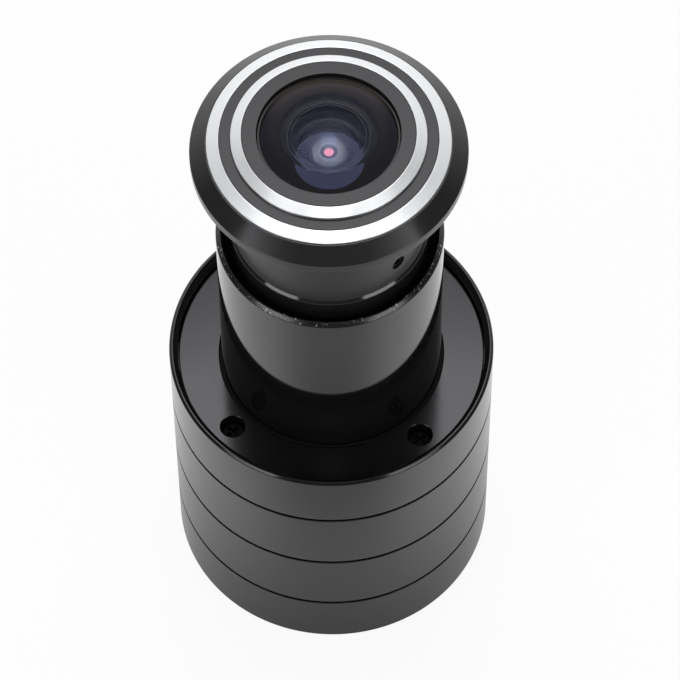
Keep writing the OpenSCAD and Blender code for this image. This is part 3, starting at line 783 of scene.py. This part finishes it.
def rim_black():
    """The painted rim of the front glass: its coating mirrors like the dome it is, and the flat warm
    paint behind it, seen through the dome, mirrors as if it were hollow."""
    f = Finish("rim_black")
    cloud = f.noise(f.place, 0.6, 2.0)
    way = f.split(f.node("ShaderNodeNewGeometry", out="Normal"))
    hollow = f.join(way[0] * -RIM_HOLLOW, way[1] * -RIM_HOLLOW, way[2])
    inner = f.rise(f.radius, CLEAR_R + RIM_FADE, CLEAR_R)
    paint = f.surface(
        base_color=f.mix(cloud, grey(0.0005), grey(0.001)),
        roughness=0.16 + cloud * 0.04 + inner * 0.27,
        specular_tint=doubled(WARM_PAINT),
        normal=f.vector("NORMALIZE", hollow),
    )
    coating = f.surface(
        base_color=grey(0.0),
        roughness=0.01 + cloud * 0.01,
        specular_tint=doubled(VIOLET_COATING),
    )
    return f.done(f.mix_shaders(0.5, paint, coating))


def stop_black():
    """Black of the stop: dull outside, worn bright around its hole."""
    f = Finish("stop_black")
    grain = f.noise(f.place, 10.0, 2.0)
    worn = f.rise(f.radius, STOP_BRIGHT_R, STOP_BRIGHT_R - STOP_FADE)
    return f.done(f.surface(
        base_color=f.mix(worn, grey(0.004), grey(0.09, (0.8, 0.86, 1.0))),
        metallic=worn,
        roughness=0.55 - worn * 0.25 + grain * 0.05,
        specular_ior_level=0.2,
    ))


def ground_edge():
    """The fine ground edges of the bowl in the front glass, which scatter light."""
    return plain("ground_edge", (0.5, 3.0), (grey(0.05), grey(0.2, (0.95, 0.97, 1.0))), (0.5, 0.2))


def moulded_black(name):
    """Black plastic with the fine grain of its mould."""
    f = Finish(name)
    grain = f.noise(f.place, 5.0, 4.0, 0.65)
    fine = f.noise(f.place, 16.0, 2.0)
    return f.done(f.surface(
        base_color=f.mix(grain, grey(0.016), grey(0.03)),
        roughness=0.46 + grain * 0.2,
        specular_ior_level=0.45,
        normal=f.bump(grain * 0.6 + fine * 0.4, 0.5, 0.02),
    ))


def blackened_steel():
    """Dull black steel of the screws."""
    shades = grey(0.002), grey(0.004)
    return plain("blackened_steel", (6.0, 3.0), shades, (0.5, 0.2), (0.2, 0.01), specular_ior_level=0.08)


def rosy_mirror():
    """The rosy glint that coated inner glasses give in the small stop of the lens."""
    shades = (0.26, 0.075, 0.11, 1.0), (0.31, 0.1, 0.14, 1.0)
    return plain("rosy_mirror", (3.0, 2.0), shades, (0.12, 0.1), metallic=1.0)


def plain_metal(name, low, high, roughness):
    return plain(name, (5.0, 3.0), (low, high), (roughness, 0.12), (0.12, 0.01), metallic=1.0)


def plain_plastic(name, low, high, roughness):
    return plain(name, (4.0, 3.0), (low, high), (roughness, 0.15), (0.25, 0.01))


def board_green():
    """Green solder mask with copper tracks under it and bare gold pads."""
    f = Finish("board_green")
    cells = {"Vector": f.place, "Scale": 0.55, "Randomness": 0.0}
    tracks = f.node("ShaderNodeTexVoronoi", {"feature": "DISTANCE_TO_EDGE", "distance": "MANHATTAN"}, cells)
    patches = f.noise(f.place, 0.4, 2.0)
    track = f.rise(tracks, 0.05, 0.12) * f.rise(patches, 0.45, 0.55)
    pads = f.node("ShaderNodeTexVoronoi", {"feature": "F1"}, {"Vector": f.place, "Scale": 0.8})
    pad = f.rise(pads, 0.16, 0.12) * f.rise(patches, 0.55, 0.5)
    mask = f.mix(track, (0.008, 0.07, 0.035, 1.0), (0.014, 0.13, 0.06, 1.0))
    return f.done(f.surface(
        base_color=f.mix(pad, mask, (0.75, 0.56, 0.25, 1.0)),
        metallic=pad,
        roughness=0.3 + patches * 0.1,
        normal=f.bump(track + pad, 0.3, 0.02),
    ))


def gold_striped_tongue():
    """Dark plastic tongue of the power socket with gold contacts across it."""
    f = Finish("socket_tongue")
    contact = f.rise(f.stripes(f.x), 0.0, 0.2)
    return f.done(f.surface(
        base_color=f.mix(contact, grey(0.02), (0.83, 0.62, 0.28, 1.0)),
        metallic=contact,
        roughness=0.45 - contact * 0.15,
        normal=f.bump(contact, 0.4, 0.03),
    ))


def amber_film():
    """Amber flat cable with dark copper tracks along it."""
    f = Finish("amber_film")
    track = f.rise(f.stripes(f.y), -0.1, 0.2)
    return f.done(f.surface(
        base_color=f.mix(track, (0.62, 0.31, 0.05, 1.0), (0.36, 0.15, 0.03, 1.0)),
        roughness=0.32 + track * 0.1,
        specular_ior_level=0.5,
        normal=f.bump(track, 0.3, 0.02),
    ))


def coated_glass(name, coating):
    """Clear glass whose coating dims and tints what it mirrors."""
    f = Finish(name)
    smear = f.noise(f.place, 0.3, 2.0)
    return f.done(f.surface(
        base_color=(1.0, 1.0, 1.0, 1.0),
        roughness=smear * 0.01,
        transmission_weight=1.0,
        ior=1.52,
        specular_tint=coating,
    ))


def clear_plastic():
    shades = (0.9, 0.93, 0.95, 1.0), (0.97, 0.98, 1.0, 1.0)
    return plain("clear_plastic", (1.0, 2.0), shades, (0.08, 0.06), transmission_weight=0.85, ior=1.49)


def rubber():
    shades = grey(0.012), grey(0.022)
    return plain("rubber", (7.0, 3.0), shades, (0.6, 0.15), (0.3, 0.015), specular_ior_level=0.3)


# Pieces


def show(piece, body, slot, *nodes):
    """The piece rides on a body and stands for CAD nodes, if it has any. Its finish slot is not used."""
    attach(piece, body)
    if nodes:
        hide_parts(*nodes)


def groove(wall, depth, low, width, edge, root):
    """Corners of a groove around a wall, from its lower edge up, with the rounding of its edges and roots."""
    floor, high = wall - depth, low + width
    return [(wall, low, edge), (floor, low, root), (floor, high, root), (wall, high, edge)]


def housing(finish):
    """The housing: a turned shell with its lips, its inner ledge and rounded grooves."""
    corners = [(LIP_R, 0.0, 0.06), (HOUSING_R - HOUSING_EDGE, 0.0, 0.1), (HOUSING_R, HOUSING_EDGE, 0.15)]
    first = (HOUSING_H - (GROOVE_COUNT - 1) * GROOVE_PITCH - GROOVE_WIDTH) / 2
    for k in range(GROOVE_COUNT):
        corners += groove(HOUSING_R, GROOVE_DEPTH, first + k * GROOVE_PITCH, GROOVE_WIDTH, 0.08, 0.05)
    slope = LIP_WALL - HOUSING_EDGE - LIP_LAND
    ledge = PLATE_BOTTOM - LEDGE
    corners += [
        (HOUSING_R, HOUSING_H - HOUSING_EDGE, 0.15),
        (HOUSING_R - HOUSING_EDGE, HOUSING_H, 0.1),
        (LIP_R + slope, HOUSING_H, 0.05),
        (LIP_R, HOUSING_H - slope, 0.04),
        (LIP_R, PLATE_BOTTOM),
        (REGISTER_HOLE_R, PLATE_BOTTOM),
        (REGISTER_HOLE_R, ledge),
        (BORE_R, ledge),
        (BORE_R, COVER_TOP),
        (LIP_R, COVER_TOP),
    ]
    show(turned("housing", rounded(corners), finish), "housing", "black_anodised", "housing_shell")


def front_plate(finish):
    """The plate in the housing's front, with stepped screw holes broken at their edges."""
    corners = [
        (REGISTER_HOLE_R, PLATE_BOTTOM),
        (PLATE_R, PLATE_BOTTOM),
        (PLATE_R, PLATE_TOP, 0.12),
        (REGISTER_HOLE_R, PLATE_TOP, FINE_EDGE),
    ]
    plate = turned("plate", rounded(corners), finish)
    under, over = PLATE_BOTTOM - OVERCUT, PLATE_TOP + FINE_EDGE
    shank_r = PLATE_SCREW_SHANK_R + SEAT_GAP
    outline = [
        (0.0, under),
        (shank_r, under),
        (shank_r, SCREW_SEAT),
        (COUNTERBORE_R, SCREW_SEAT),
        (COUNTERBORE_R, PLATE_TOP - FINE_EDGE),
        (COUNTERBORE_R + 2 * FINE_EDGE, over),
        (0.0, over),
    ]
    hole = turned("hole", outline, finish, FINE_SEGMENTS)
    holes = ring_of("holes", hole, PLATE_SCREW_RING_R, PLATE_SCREW_ANGLE, finish)
    show(cut(plate, holes), "housing", "black_anodised", "front_plate")


def screw_set(name, corners, recess, ring_r, first, finish):
    """Four screws on a ring, each with a cross recess: the cutting blocks that make it are given."""
    screw = cut(turned(name, rounded(corners), finish, FINE_SEGMENTS), *recess)
    screws = ring_of(name + "_set", screw, ring_r, first, finish)
    show(screws, "housing", "black_steel", name + "s")


def plate_screws(finish):
    """Pan-headed screws down in the plate's holes."""
    bottom, top = heights("plate_screws")
    head_r = COUNTERBORE_R - HEAD_GAP
    corners = [
        (0.0, bottom),
        (PLATE_SCREW_SHANK_R, bottom, 0.15),
        (PLATE_SCREW_SHANK_R, SCREW_SEAT),
        (head_r, SCREW_SEAT, 0.05),
        (head_r, top, 0.3),
        (0.0, top),
    ]
    recess = cross_recess(head_r, PLATE_RECESS, top)
    screw_set("plate_screw", corners, recess, PLATE_SCREW_RING_R, PLATE_SCREW_ANGLE, finish)


def door_tube(finish):
    """The tube: foot flange, register, long wall with a worn edge, wide mouth and guide bore."""
    foot_r, foot = outer_r("door_tube"), TUBE_BOTTOM + FOOT
    register_top = PLATE_TOP - REGISTER_SINK
    mouth = TUBE_TOP - MOUTH_DEEP
    corners = [
        (GUIDE_R, TUBE_BOTTOM, 0.1),
        (foot_r, TUBE_BOTTOM, 0.1),
        (foot_r, foot),
        (REGISTER_R, foot),
        (REGISTER_R, register_top),
        (TUBE_R, register_top, 0.05),
        (TUBE_R, TUBE_TOP - TUBE_EDGE, 0.15),
        (TUBE_R - TUBE_EDGE, TUBE_TOP, 0.12),
        (MOUTH_R, TUBE_TOP, 0.08),
        (MOUTH_R, mouth),
        (GUIDE_R + GUIDE_EDGE, mouth, 0.05),
        (GUIDE_R, mouth - GUIDE_EDGE, 0.05),
    ]
    show(turned("tube", rounded(corners), finish), "housing", "black_anodised", "door_tube")


def bezel(finish):
    """The bezel in one piece with its neck and barrel: stepped face, bevel, shoulder and seal grooves."""
    flange_r, rim = outer_r("bezel_barrel"), FLANGE_BACK + FLANGE_RIM
    outer_seat, outer_top = heights("outer_trim_ring")
    inner_seat = heights("inner_trim_ring")[0]
    outer_out, inner_out = (outer_r(node) + THREAD_GAP for node in ("outer_trim_ring", "inner_trim_ring"))
    outer_in, inner_in = outer_out - OUTER_TRIM - 2 * THREAD_GAP, inner_out - INNER_TRIM - 2 * THREAD_GAP
    corners = [
        (BARREL_BORE_R, BEZEL_BOTTOM, 0.1),
        (BARREL_R - BARREL_EDGE, BEZEL_BOTTOM, 0.05),
        (BARREL_R, BEZEL_BOTTOM + BARREL_EDGE, 0.05),
    ]
    for drop in SEAL_DROPS:
        corners += groove(BARREL_R, SEAL, BEZEL_BOTTOM + drop - SEAL_GROOVE / 2, SEAL_GROOVE, 0.06, 0.1)
    corners += [
        (BARREL_R, NECK_BOTTOM - SHOULDER, 0.12),
        (NECK_R, NECK_BOTTOM, 0.12),
        (NECK_R, FLANGE_BACK, 0.1),
        (flange_r, FLANGE_BACK, 0.15),
        (flange_r, rim, 0.12),
        (outer_out + BEVEL_LAND, rim + BEVEL, 0.05),
        (outer_out, rim + BEVEL, 0.03),
        (outer_out, outer_seat),
        (outer_in, outer_seat),
        (outer_in, outer_top, 0.05),
        (inner_out, outer_top, 0.05),
        (inner_out, inner_seat),
        (inner_in, inner_seat),
        (inner_in, BEZEL_FACE, 0.05),
        (WINDOW_R, BEZEL_FACE, 0.06),
        (WINDOW_R, BEZEL_FACE - FRONT_WALL, 0.05),
        (BARREL_BORE_R, BEZEL_FACE - FRONT_WALL),
    ]
    piece = turned("bezel", rounded(corners), finish)
    show(cut(piece, lock_hole(finish)), "barrel", "black_anodised", "bezel_barrel")


def lock_hole(finish):
    """What the neck's cross hole takes away, broken at its edge."""
    hole_r = LOCK_SCREW_R + THREAD_GAP
    inner, outer = BARREL_BORE_R - OVERCUT, NECK_R + FINE_EDGE
    outline = [(0.0, inner), (hole_r, inner), (hole_r, NECK_R - FINE_EDGE)]
    outline += [(hole_r + 2 * FINE_EDGE, outer), (0.0, outer)]
    piece = turned("lock_hole", outline, finish, FINE_SEGMENTS)
    turn = Matrix.Rotation(math.radians(LOCK_ANGLE), 4, "Z") @ Matrix.Rotation(math.pi / 2, 4, "Y")
    return moved(piece, (0.0, 0.0, middle("lens_lock_screw").z), turn)


def trim_ring(name, node, width, finish):
    """A bright ring: its face slopes down outwards, with both edges eased."""
    low, high = heights(node)
    outside = outer_r(node)
    inside = outside - width
    corners = [(inside, low), (outside, low), (outside, low + TRIM_LOW, 0.06), (inside, high, 0.06)]
    show(turned(name, rounded(corners), finish), "barrel", "bright_aluminium", node)


def seals(finish):
    """Two rubber rings in the barrel's grooves, in one piece."""
    low, high = heights("barrel_seals")
    half = (SEAL - THREAD_GAP) / 2
    centre_r = outer_r("barrel_seals") - half
    turns = [math.tau * k / SEAL_STEPS for k in range(SEAL_STEPS)]
    rings = []
    for height in (low + half, high - half):
        section = [(centre_r + half * math.cos(turn), height + half * math.sin(turn)) for turn in turns]
        rings.append(turned("seal_pair", section, finish))
    join(*rings)
    show(rings[0], "barrel", "rubber", "barrel_seals")


def front_glass(finish):
    """The front glass: a low dome outside, a bowl ground into its rear with a broken edge."""
    low, high = box_mm("front_lens")
    dome = [(r, z if r < CLEAR_R else z - HAIR) for r, z in front_dome()]
    wall = high.x - HAIR
    ground = [point for point in cap_arc(BOWL_CURVE, BOWL_R, low.z) if point[0] < BOWL_R - BOWL_EASE]
    outline = ground[::-1] + [(BOWL_R, low.z), (high.x - GLASS_EASE, low.z)]
    outline += [(wall, low.z + GLASS_EASE), (wall, dome[0][1] - GLASS_EASE)] + dome
    show(turned("front_glass", outline, finish), "lens_capsule", "front_glass", "front_lens")


def front_dome():
    """Points of the front glass's dome, from its edge up to the axis."""
    high = box_mm("front_lens")[1]
    dome = cap_arc(GLASS_CURVE, high.x - GLASS_EASE, 0.0)
    return [(r, z + high.z - dome[-1][1]) for r, z in dome]


def glass_rim(finish):
    """The painted rim of the front glass: a thin shell that follows its dome outside the clear middle."""
    wall = outer_r("front_lens") + THREAD_GAP - HAIR / 4
    dome = [point for point in front_dome() if point[0] > CLEAR_R]
    skirt = dome[0][1] - RIM_SKIRT
    edge = dome[0][1] - (wall - dome[0][0]) * wall / GLASS_CURVE
    outline = [(wall - RIM_SHELL, skirt), (wall, skirt), (wall, edge)] + dome
    outline += [(r, z - RIM_SHELL) for r, z in reversed(dome) if r < wall - 2 * RIM_SHELL]
    show(turned("glass_rim", outline, finish), "lens_capsule", "front_glass")


def bowl_lines(finish):
    """Two fine rings: the edges of the ground slope around the bowl."""
    foot = heights("front_lens")[0]
    half = BOWL_LINE / 2
    rings = []
    for radius in (BOWL_R, BOWL_R - BOWL_EASE):
        height = foot + dome_height(BOWL_CURVE, BOWL_R, radius)
        section = [(radius - half, height), (radius, height - half), (radius + half, height)]
        rings.append(turned("bowl_lines", section + [(radius, height + half)], finish))
    join(*rings)
    show(rings[0], "lens_capsule", "front_glass")


def second_glass(finish):
    """The second glass: a rod with a domed front, cemented over the stop's slope."""
    wall = outer_r("second_lens") - HAIR
    edge = heights("second_lens")[0] + SECOND_EDGE
    bottom = heights("aperture_disc")[0] + HAIR
    outline = [(0.0, bottom), (wall, bottom), (wall, edge - HAIR)]
    outline += cap_arc(SECOND_CURVE, SECOND_DOME_R, edge)
    show(turned("second_glass", outline, finish), "lens_capsule", "coated_glass", "second_lens")


def stop_glass(finish):
    """A small coated glass in the hole of the stop, seen as a rosy dot."""
    bottom = heights("aperture_disc")[0]
    radius, top = STOP_R - HAIR, bottom + STOP_FACE
    corners = [(0.0, bottom), (radius, bottom), (radius, top, 0.02), (0.0, top)]
    piece = turned("stop_glass", rounded(corners), finish, FINE_SEGMENTS)
    show(piece, "lens_capsule", "coated_glass")


def spacer(finish):
    """The black ring behind the front glass, bedded a hair into it, sloping down to the second glass."""
    low, high = heights("lens_spacer")
    outside, top = outer_r("lens_spacer") - HAIR, high + HAIR
    corners = [
        (SPACER_HOLE_R, low),
        (outside, low),
        (outside, top),
        (BOWL_R + HAIR, top),
        (BOWL_R, high - HAIR),
        (SPACER_HOLE_R, low + SPACER_LIP, 0.03),
    ]
    show(turned("spacer", rounded(corners), finish), "lens_capsule", "lens_black", "lens_spacer")


def over(piece, node):
    """Shifts a piece sideways onto the middle of a CAD node."""
    place = middle(node)
    return moved(piece, (place.x, place.y, 0.0))


def rear_cover(finish):
    """The rear cover: countersunk screw holes, the power slot, and holes for button, light and microphone."""
    radius = outer_r("rear_cover")
    corners = [(0.0, COVER_BOTTOM), (radius, COVER_BOTTOM, 0.15), (radius, COVER_TOP, 0.05), (0.0, COVER_TOP)]
    cover = turned("cover", rounded(corners), finish)
    sink_r = REAR_SCREW_HEAD_R + SEAT_GAP + HOLE_EDGE
    sink = cover_hole("sink", sink_r, REAR_SCREW_R + SEAT_GAP, REAR_SCREW_HEAD, finish)
    cutters = [ring_of("sinks", sink, REAR_SCREW_RING_R, REAR_SCREW_ANGLE, finish)]
    holes = {"reset_button": BUTTON_R + SEAT_GAP, "light_pipe": LIGHT_R + SEAT_GAP, "microphone": MIC_R}
    for node, hole_r in holes.items():
        hole = cover_hole(node + "_hole", hole_r + 2 * HOLE_EDGE, hole_r, HOLE_EDGE, finish)
        cutters.append(over(hole, node))
    length, width = USB_SLOT
    levels = [
        (length + 4 * HOLE_EDGE, width + 4 * HOLE_EDGE, COVER_BOTTOM - HOLE_EDGE),
        (length, width, COVER_BOTTOM + HOLE_EDGE),
        (length, width, COVER_TOP + OVERCUT),
    ]
    cutters.append(over(slot_piece("slot", levels), "usb_socket"))
    show(cut(cover, *cutters), "housing", "black_plastic", "rear_cover")


def cover_hole(name, mouth_r, hole_r, depth, finish):
    """What a round hole through the cover takes away, with a cone at the outer face."""
    under, above = COVER_BOTTOM - HOLE_EDGE, COVER_TOP + OVERCUT
    outline = [(0.0, under), (mouth_r, under), (hole_r, COVER_BOTTOM + depth), (hole_r, above), (0.0, above)]
    return turned(name, outline, finish, FINE_SEGMENTS)


def rear_screws(finish):
    """Countersunk screws that hold the rear cover."""
    low, high = heights("rear_screws")
    corners = [
        (0.0, low),
        (REAR_SCREW_HEAD_R, low, 0.05),
        (REAR_SCREW_R, low + REAR_SCREW_HEAD, 0.1),
        (REAR_SCREW_R, high, 0.15),
        (0.0, high),
    ]
    recess = cross_recess(REAR_SCREW_HEAD_R, REAR_RECESS, low)
    screw_set("rear_screw", corners, recess, REAR_SCREW_RING_R, REAR_SCREW_ANGLE, finish)


def reset_button(finish):
    """The reset button: a dished face, a lip that keeps it in and a nub towards its switch."""
    low, high = box_mm("reset_button")
    lip_r = (high.x - low.x) / 2
    lip = COVER_TOP + SLIDE_GAP
    corners = [(share * BUTTON_R, low.z + depth, rounding) for share, depth, rounding in BUTTON_DISH]
    corners += [
        (BUTTON_R, lip),
        (lip_r, lip, 0.05),
        (lip_r, lip + BUTTON_LIP, 0.1),
        (BUTTON_NUB_R, lip + BUTTON_LIP),
        (BUTTON_NUB_R, high.z, 0.1),
        (0.0, high.z),
    ]
    piece = over(turned("button", rounded(corners), finish, FINE_SEGMENTS), "reset_button")
    show(piece, "reset_button", "black_plastic", "reset_button")


def bend(centre, radius, start, end):
    """Points of an arc in the XZ plane, angles in degrees."""
    turns = [math.radians(start + (end - start) * k / BEND_STEPS) for k in range(BEND_STEPS + 1)]
    return [(centre[0] + radius * math.cos(t), centre[1] + radius * math.sin(t)) for t in turns]


def ribbon(finish):
    """The folded flat cable between main board and sensor board."""
    low, high = box_mm("sensor_ribbon")
    bottom, top = low.z, high.z
    half = (top - bottom - 2 * RIBBON_LEAD - 2 * RIBBON_BEND_R) / (2 * RIBBON_TURNS)
    reach = high.x - half - RIBBON_THICKNESS / 2
    first = bottom + RIBBON_LEAD
    route = [(0.0, bottom)] + bend((RIBBON_BEND_R, first), RIBBON_BEND_R, 180, 90)
    height = first + RIBBON_BEND_R
    for k in range(RIBBON_TURNS):
        side = 1 if k % 2 == 0 else -1
        route += bend((side * reach, height + half), half, -90, 90 if side > 0 else -270)
        height += 2 * half
    route += bend((RIBBON_BEND_R, height + RIBBON_BEND_R), RIBBON_BEND_R, 270, 180) + [(0.0, top)]
    width = (high.y - low.y) * MM
    mesh = edge_chain("ribbon", route, False)
    piece = grown("ribbon", mesh, BAND, Width=width, Thickness=RIBBON_THICKNESS * MM, Finish=finish)
    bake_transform(piece)
    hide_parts("sensor_ribbon")


def dress(finish, *nodes):
    """Gives a finish to CAD nodes that keep their own shape."""
    for node in nodes:
        materials = frame["nodes"][node].data.materials
        materials.clear()
        materials.append(finish)


# Studio


def camera():
    """The camera as the photograph was taken, aimed along its own axes."""
    tilt = math.radians(VIEW_ELEVATION)
    back = Vector((0.0, -math.cos(tilt), math.sin(tilt)))
    up = Vector((0.0, math.sin(tilt), math.cos(tilt)))
    roll = math.radians(VIEW_ROLL)
    side = Vector((1.0, 0.0, 0.0)) * math.cos(roll) + up * math.sin(roll)
    up = back.cross(side)
    data = bpy.data.cameras.new("camera")
    data.sensor_width = SENSOR_MM
    data.lens = FOCAL_PIXELS / IMAGE_PIXELS * SENSOR_MM
    data.clip_start = 0.01
    seen = placed("camera", data)
    turn = Matrix((side, up, back)).transposed().to_4x4()
    seen.matrix_world = Matrix.Translation((VIEW_TARGET + back * VIEW_DISTANCE) * MM) @ turn
    bpy.context.scene.camera = seen


def seen_ray(tree):
    """1 for rays that the camera, a mirror or a glass sees, 0 for rays that only carry light."""
    kinds = ("Is Camera Ray", "Is Glossy Ray", "Is Transmission Ray")
    direct, mirrored, through = (tree.node("ShaderNodeLightPath", out=kind) for kind in kinds)
    return tree.clamp(direct + mirrored + through)


def floor():
    """A wide white floor that keeps a faint shadow, and lets a view from below through.

    What mirrors it sees painted shade on it: dimmer close to the object, a painted shadow of the object, and
    on the near side, a painted shade of the photographer, who stands in the light."""
    mesh = bpy.data.meshes.new("floor")
    signs = ((-1, -1), (1, -1), (1, 1), (-1, 1))
    corners = [(x * FLOOR_REACH, y * FLOOR_REACH, -FLOOR_DROP) for x, y in signs]
    mesh.from_pydata(corners, [], [(0, 1, 2, 3)])
    material = bpy.data.materials.new("floor")
    material.use_nodes = True
    tree = Tree(material.node_tree)
    place = tree.split(tree.node("ShaderNodeTexCoord", out="Object"))
    slope = tree.math("ABSOLUTE", place[0] / (tree.math("ABSOLUTE", place[1]) + 0.01))
    # Painted shade of the photographer on the near side, seen only in what mirrors the floor
    near = tree.rise(place[1], *FLOOR_NEAR_REACH) * tree.rise(slope, *FLOOR_NEAR_SLOPE)
    away = (place[0] * place[0] + place[1] * place[1]) ** 0.5
    # Painted shadow of the object around its foot, seen only in what mirrors the floor
    close = tree.rise(away, *FLOOR_SHADE_REACH) * FLOOR_SHADE
    mirrored = 1.0 - tree.node("ShaderNodeLightPath", out="Is Camera Ray")
    dim = FLOOR_DIM[0] + tree.rise(away, *FLOOR_DIM_REACH) * (FLOOR_DIM[1] - FLOOR_DIM[0])
    level = 1.0 - mirrored * (1.0 - (1.0 - near * (1.0 - dim)) * (1.0 - close))
    paper = tree.node("ShaderNodeBsdfDiffuse", {}, {"Color": grey(FLOOR_PAPER)})
    shade = tree.join(level, level, level)
    white = tree.node("ShaderNodeEmission", {}, {"Color": shade, "Strength": 1.0})
    above = tree.mix_shaders(seen_ray(tree) * FLOOR_WHITE, paper, white)
    clear = tree.node("ShaderNodeBsdfTransparent")
    under = tree.node("ShaderNodeNewGeometry", out="Backfacing")
    tree.node("ShaderNodeOutputMaterial", {}, {"Surface": tree.mix_shaders(under, above, clear)})
    mesh.materials.append(material)
    placed("floor", mesh)


def room():
    """The room's soft light: a pale wall behind, a little from overhead, and little from the front."""
    world = bpy.data.worlds.new("room")
    world.use_nodes = True
    bpy.context.scene.world = world
    tree = Tree(world.node_tree)
    way = tree.split(tree.node("ShaderNodeTexCoord", out="Generated"))
    back = tree.rise(way[1], *ROOM_BACK_SLOPE) * ROOM_BACK_WALL
    level = ROOM_LOW + way[2] * way[2] * ROOM_OVERHEAD + back
    camera_ray = tree.node("ShaderNodeLightPath", out="Is Camera Ray")
    colour = tree.mix(camera_ray, tree.join(level, level, level), grey(1.0))
    shade = tree.node("ShaderNodeBackground", {}, {"Color": colour, "Strength": 1.0})
    tree.node("ShaderNodeOutputWorld", {}, {"Surface": shade})


def lamp(name, shape, sizes, watts, way, away):
    """A soft lamp in a direction from the object, turned to it."""
    data = bpy.data.lights.new(name, "AREA")
    data.shape = shape
    data.size, data.size_y = sizes
    data.energy = watts
    made = placed(name, data)
    way = Vector(way).normalized()
    made.location = VIEW_TARGET * MM + way * away
    made.rotation_euler = way.to_track_quat("Z", "Y").to_euler()
    made.visible_camera = False


def lamps():
    """A round softbox overhead, a small one nearer and two wide ones in front, left and right."""
    for settings in LAMPS:
        lamp(*settings)


def pieces():
    """Every piece with its finish, and a finish for each CAD node that keeps its own shape."""
    bright, plastic = bright_metal(), moulded_black("moulded_black")
    screw_black, soft = blackened_steel(), rubber()
    housing(gloss_black("gloss_black", 0.09, 0.52, dull_above=HOUSING_H - HOUSING_EDGE))
    front_plate(gloss_black("plate_black", 0.1, 0.34, spread=0.7))
    door_tube(worn_tube())
    plate_screws(screw_black)
    bezel(satin_black())
    trim_ring("inner_ring", "inner_trim_ring", INNER_TRIM, bright)
    trim_ring("outer_ring", "outer_trim_ring", OUTER_TRIM, bright)
    seals(soft)
    front_glass(coated_glass("front_glass", VIOLET_COATING))
    glass_rim(rim_black())
    bowl_lines(ground_edge())
    second_glass(coated_glass("second_glass", (0.25, 0.28, 0.4, 1.0)))
    stop_glass(rosy_mirror())
    spacer(painted_black())
    rear_cover(plastic)
    rear_screws(screw_black)
    reset_button(moulded_black("button_black"))
    ribbon(amber_film())
    dress(coated_glass("rear_glass", (1.0, 0.55, 0.75, 1.0)), "rear_lens")
    dress(coated_glass("filter_glass", (1.0, 0.4, 0.5, 1.0)), "infrared_filter")
    dress(barrel_black(), "lens_barrel")
    dress(stop_black(), "aperture_disc")
    dress(lens_black(), "lens_retainer")
    dress(plastic, "lens_holder")
    dress(screw_black, "lens_lock_screw")
    dress(soft, "mic_boot", "lens_seal")
    dress(clear_plastic(), "light_pipe")
    dress(plain_metal("screw_steel", grey(0.5), grey(0.62), 0.25), "sensor_screws")
    brass = plain_metal("brass", (0.62, 0.44, 0.18, 1.0), (0.78, 0.58, 0.27, 1.0), 0.25)
    dress(brass, "rear_standoffs", "middle_standoffs", "front_standoffs")
    dress(board_green(), "main_board", "power_board", "sensor_board")
    dress(plain_plastic("chip_black", grey(0.018), grey(0.03), 0.4), "processor_chip", "memory_chip")
    header_black = plain_plastic("header_black", grey(0.014), grey(0.022), 0.45)
    dress(header_black, "board_header", "reset_switch", "image_sensor")
    dress(gold_striped_tongue(), "usb_tongue")
    tin = plain_metal("tinned_sheet", grey(0.55, (1.0, 0.98, 0.95)), grey(0.68, (1.0, 0.99, 0.97)), 0.28)
    dress(tin, "wifi_module", "usb_socket", "microphone")
    cream = plain_plastic("cream_plastic", (0.62, 0.57, 0.46, 1.0), (0.7, 0.65, 0.54, 1.0), 0.45)
    dress(cream, "main_flex_socket", "sensor_flex_socket", "antenna", "status_led", "switch_plunger")


camera()
floor()
room()
lamps()
pieces()
bpy.context.scene.view_settings.view_transform = "Standard"
bpy.context.view_layer.update()
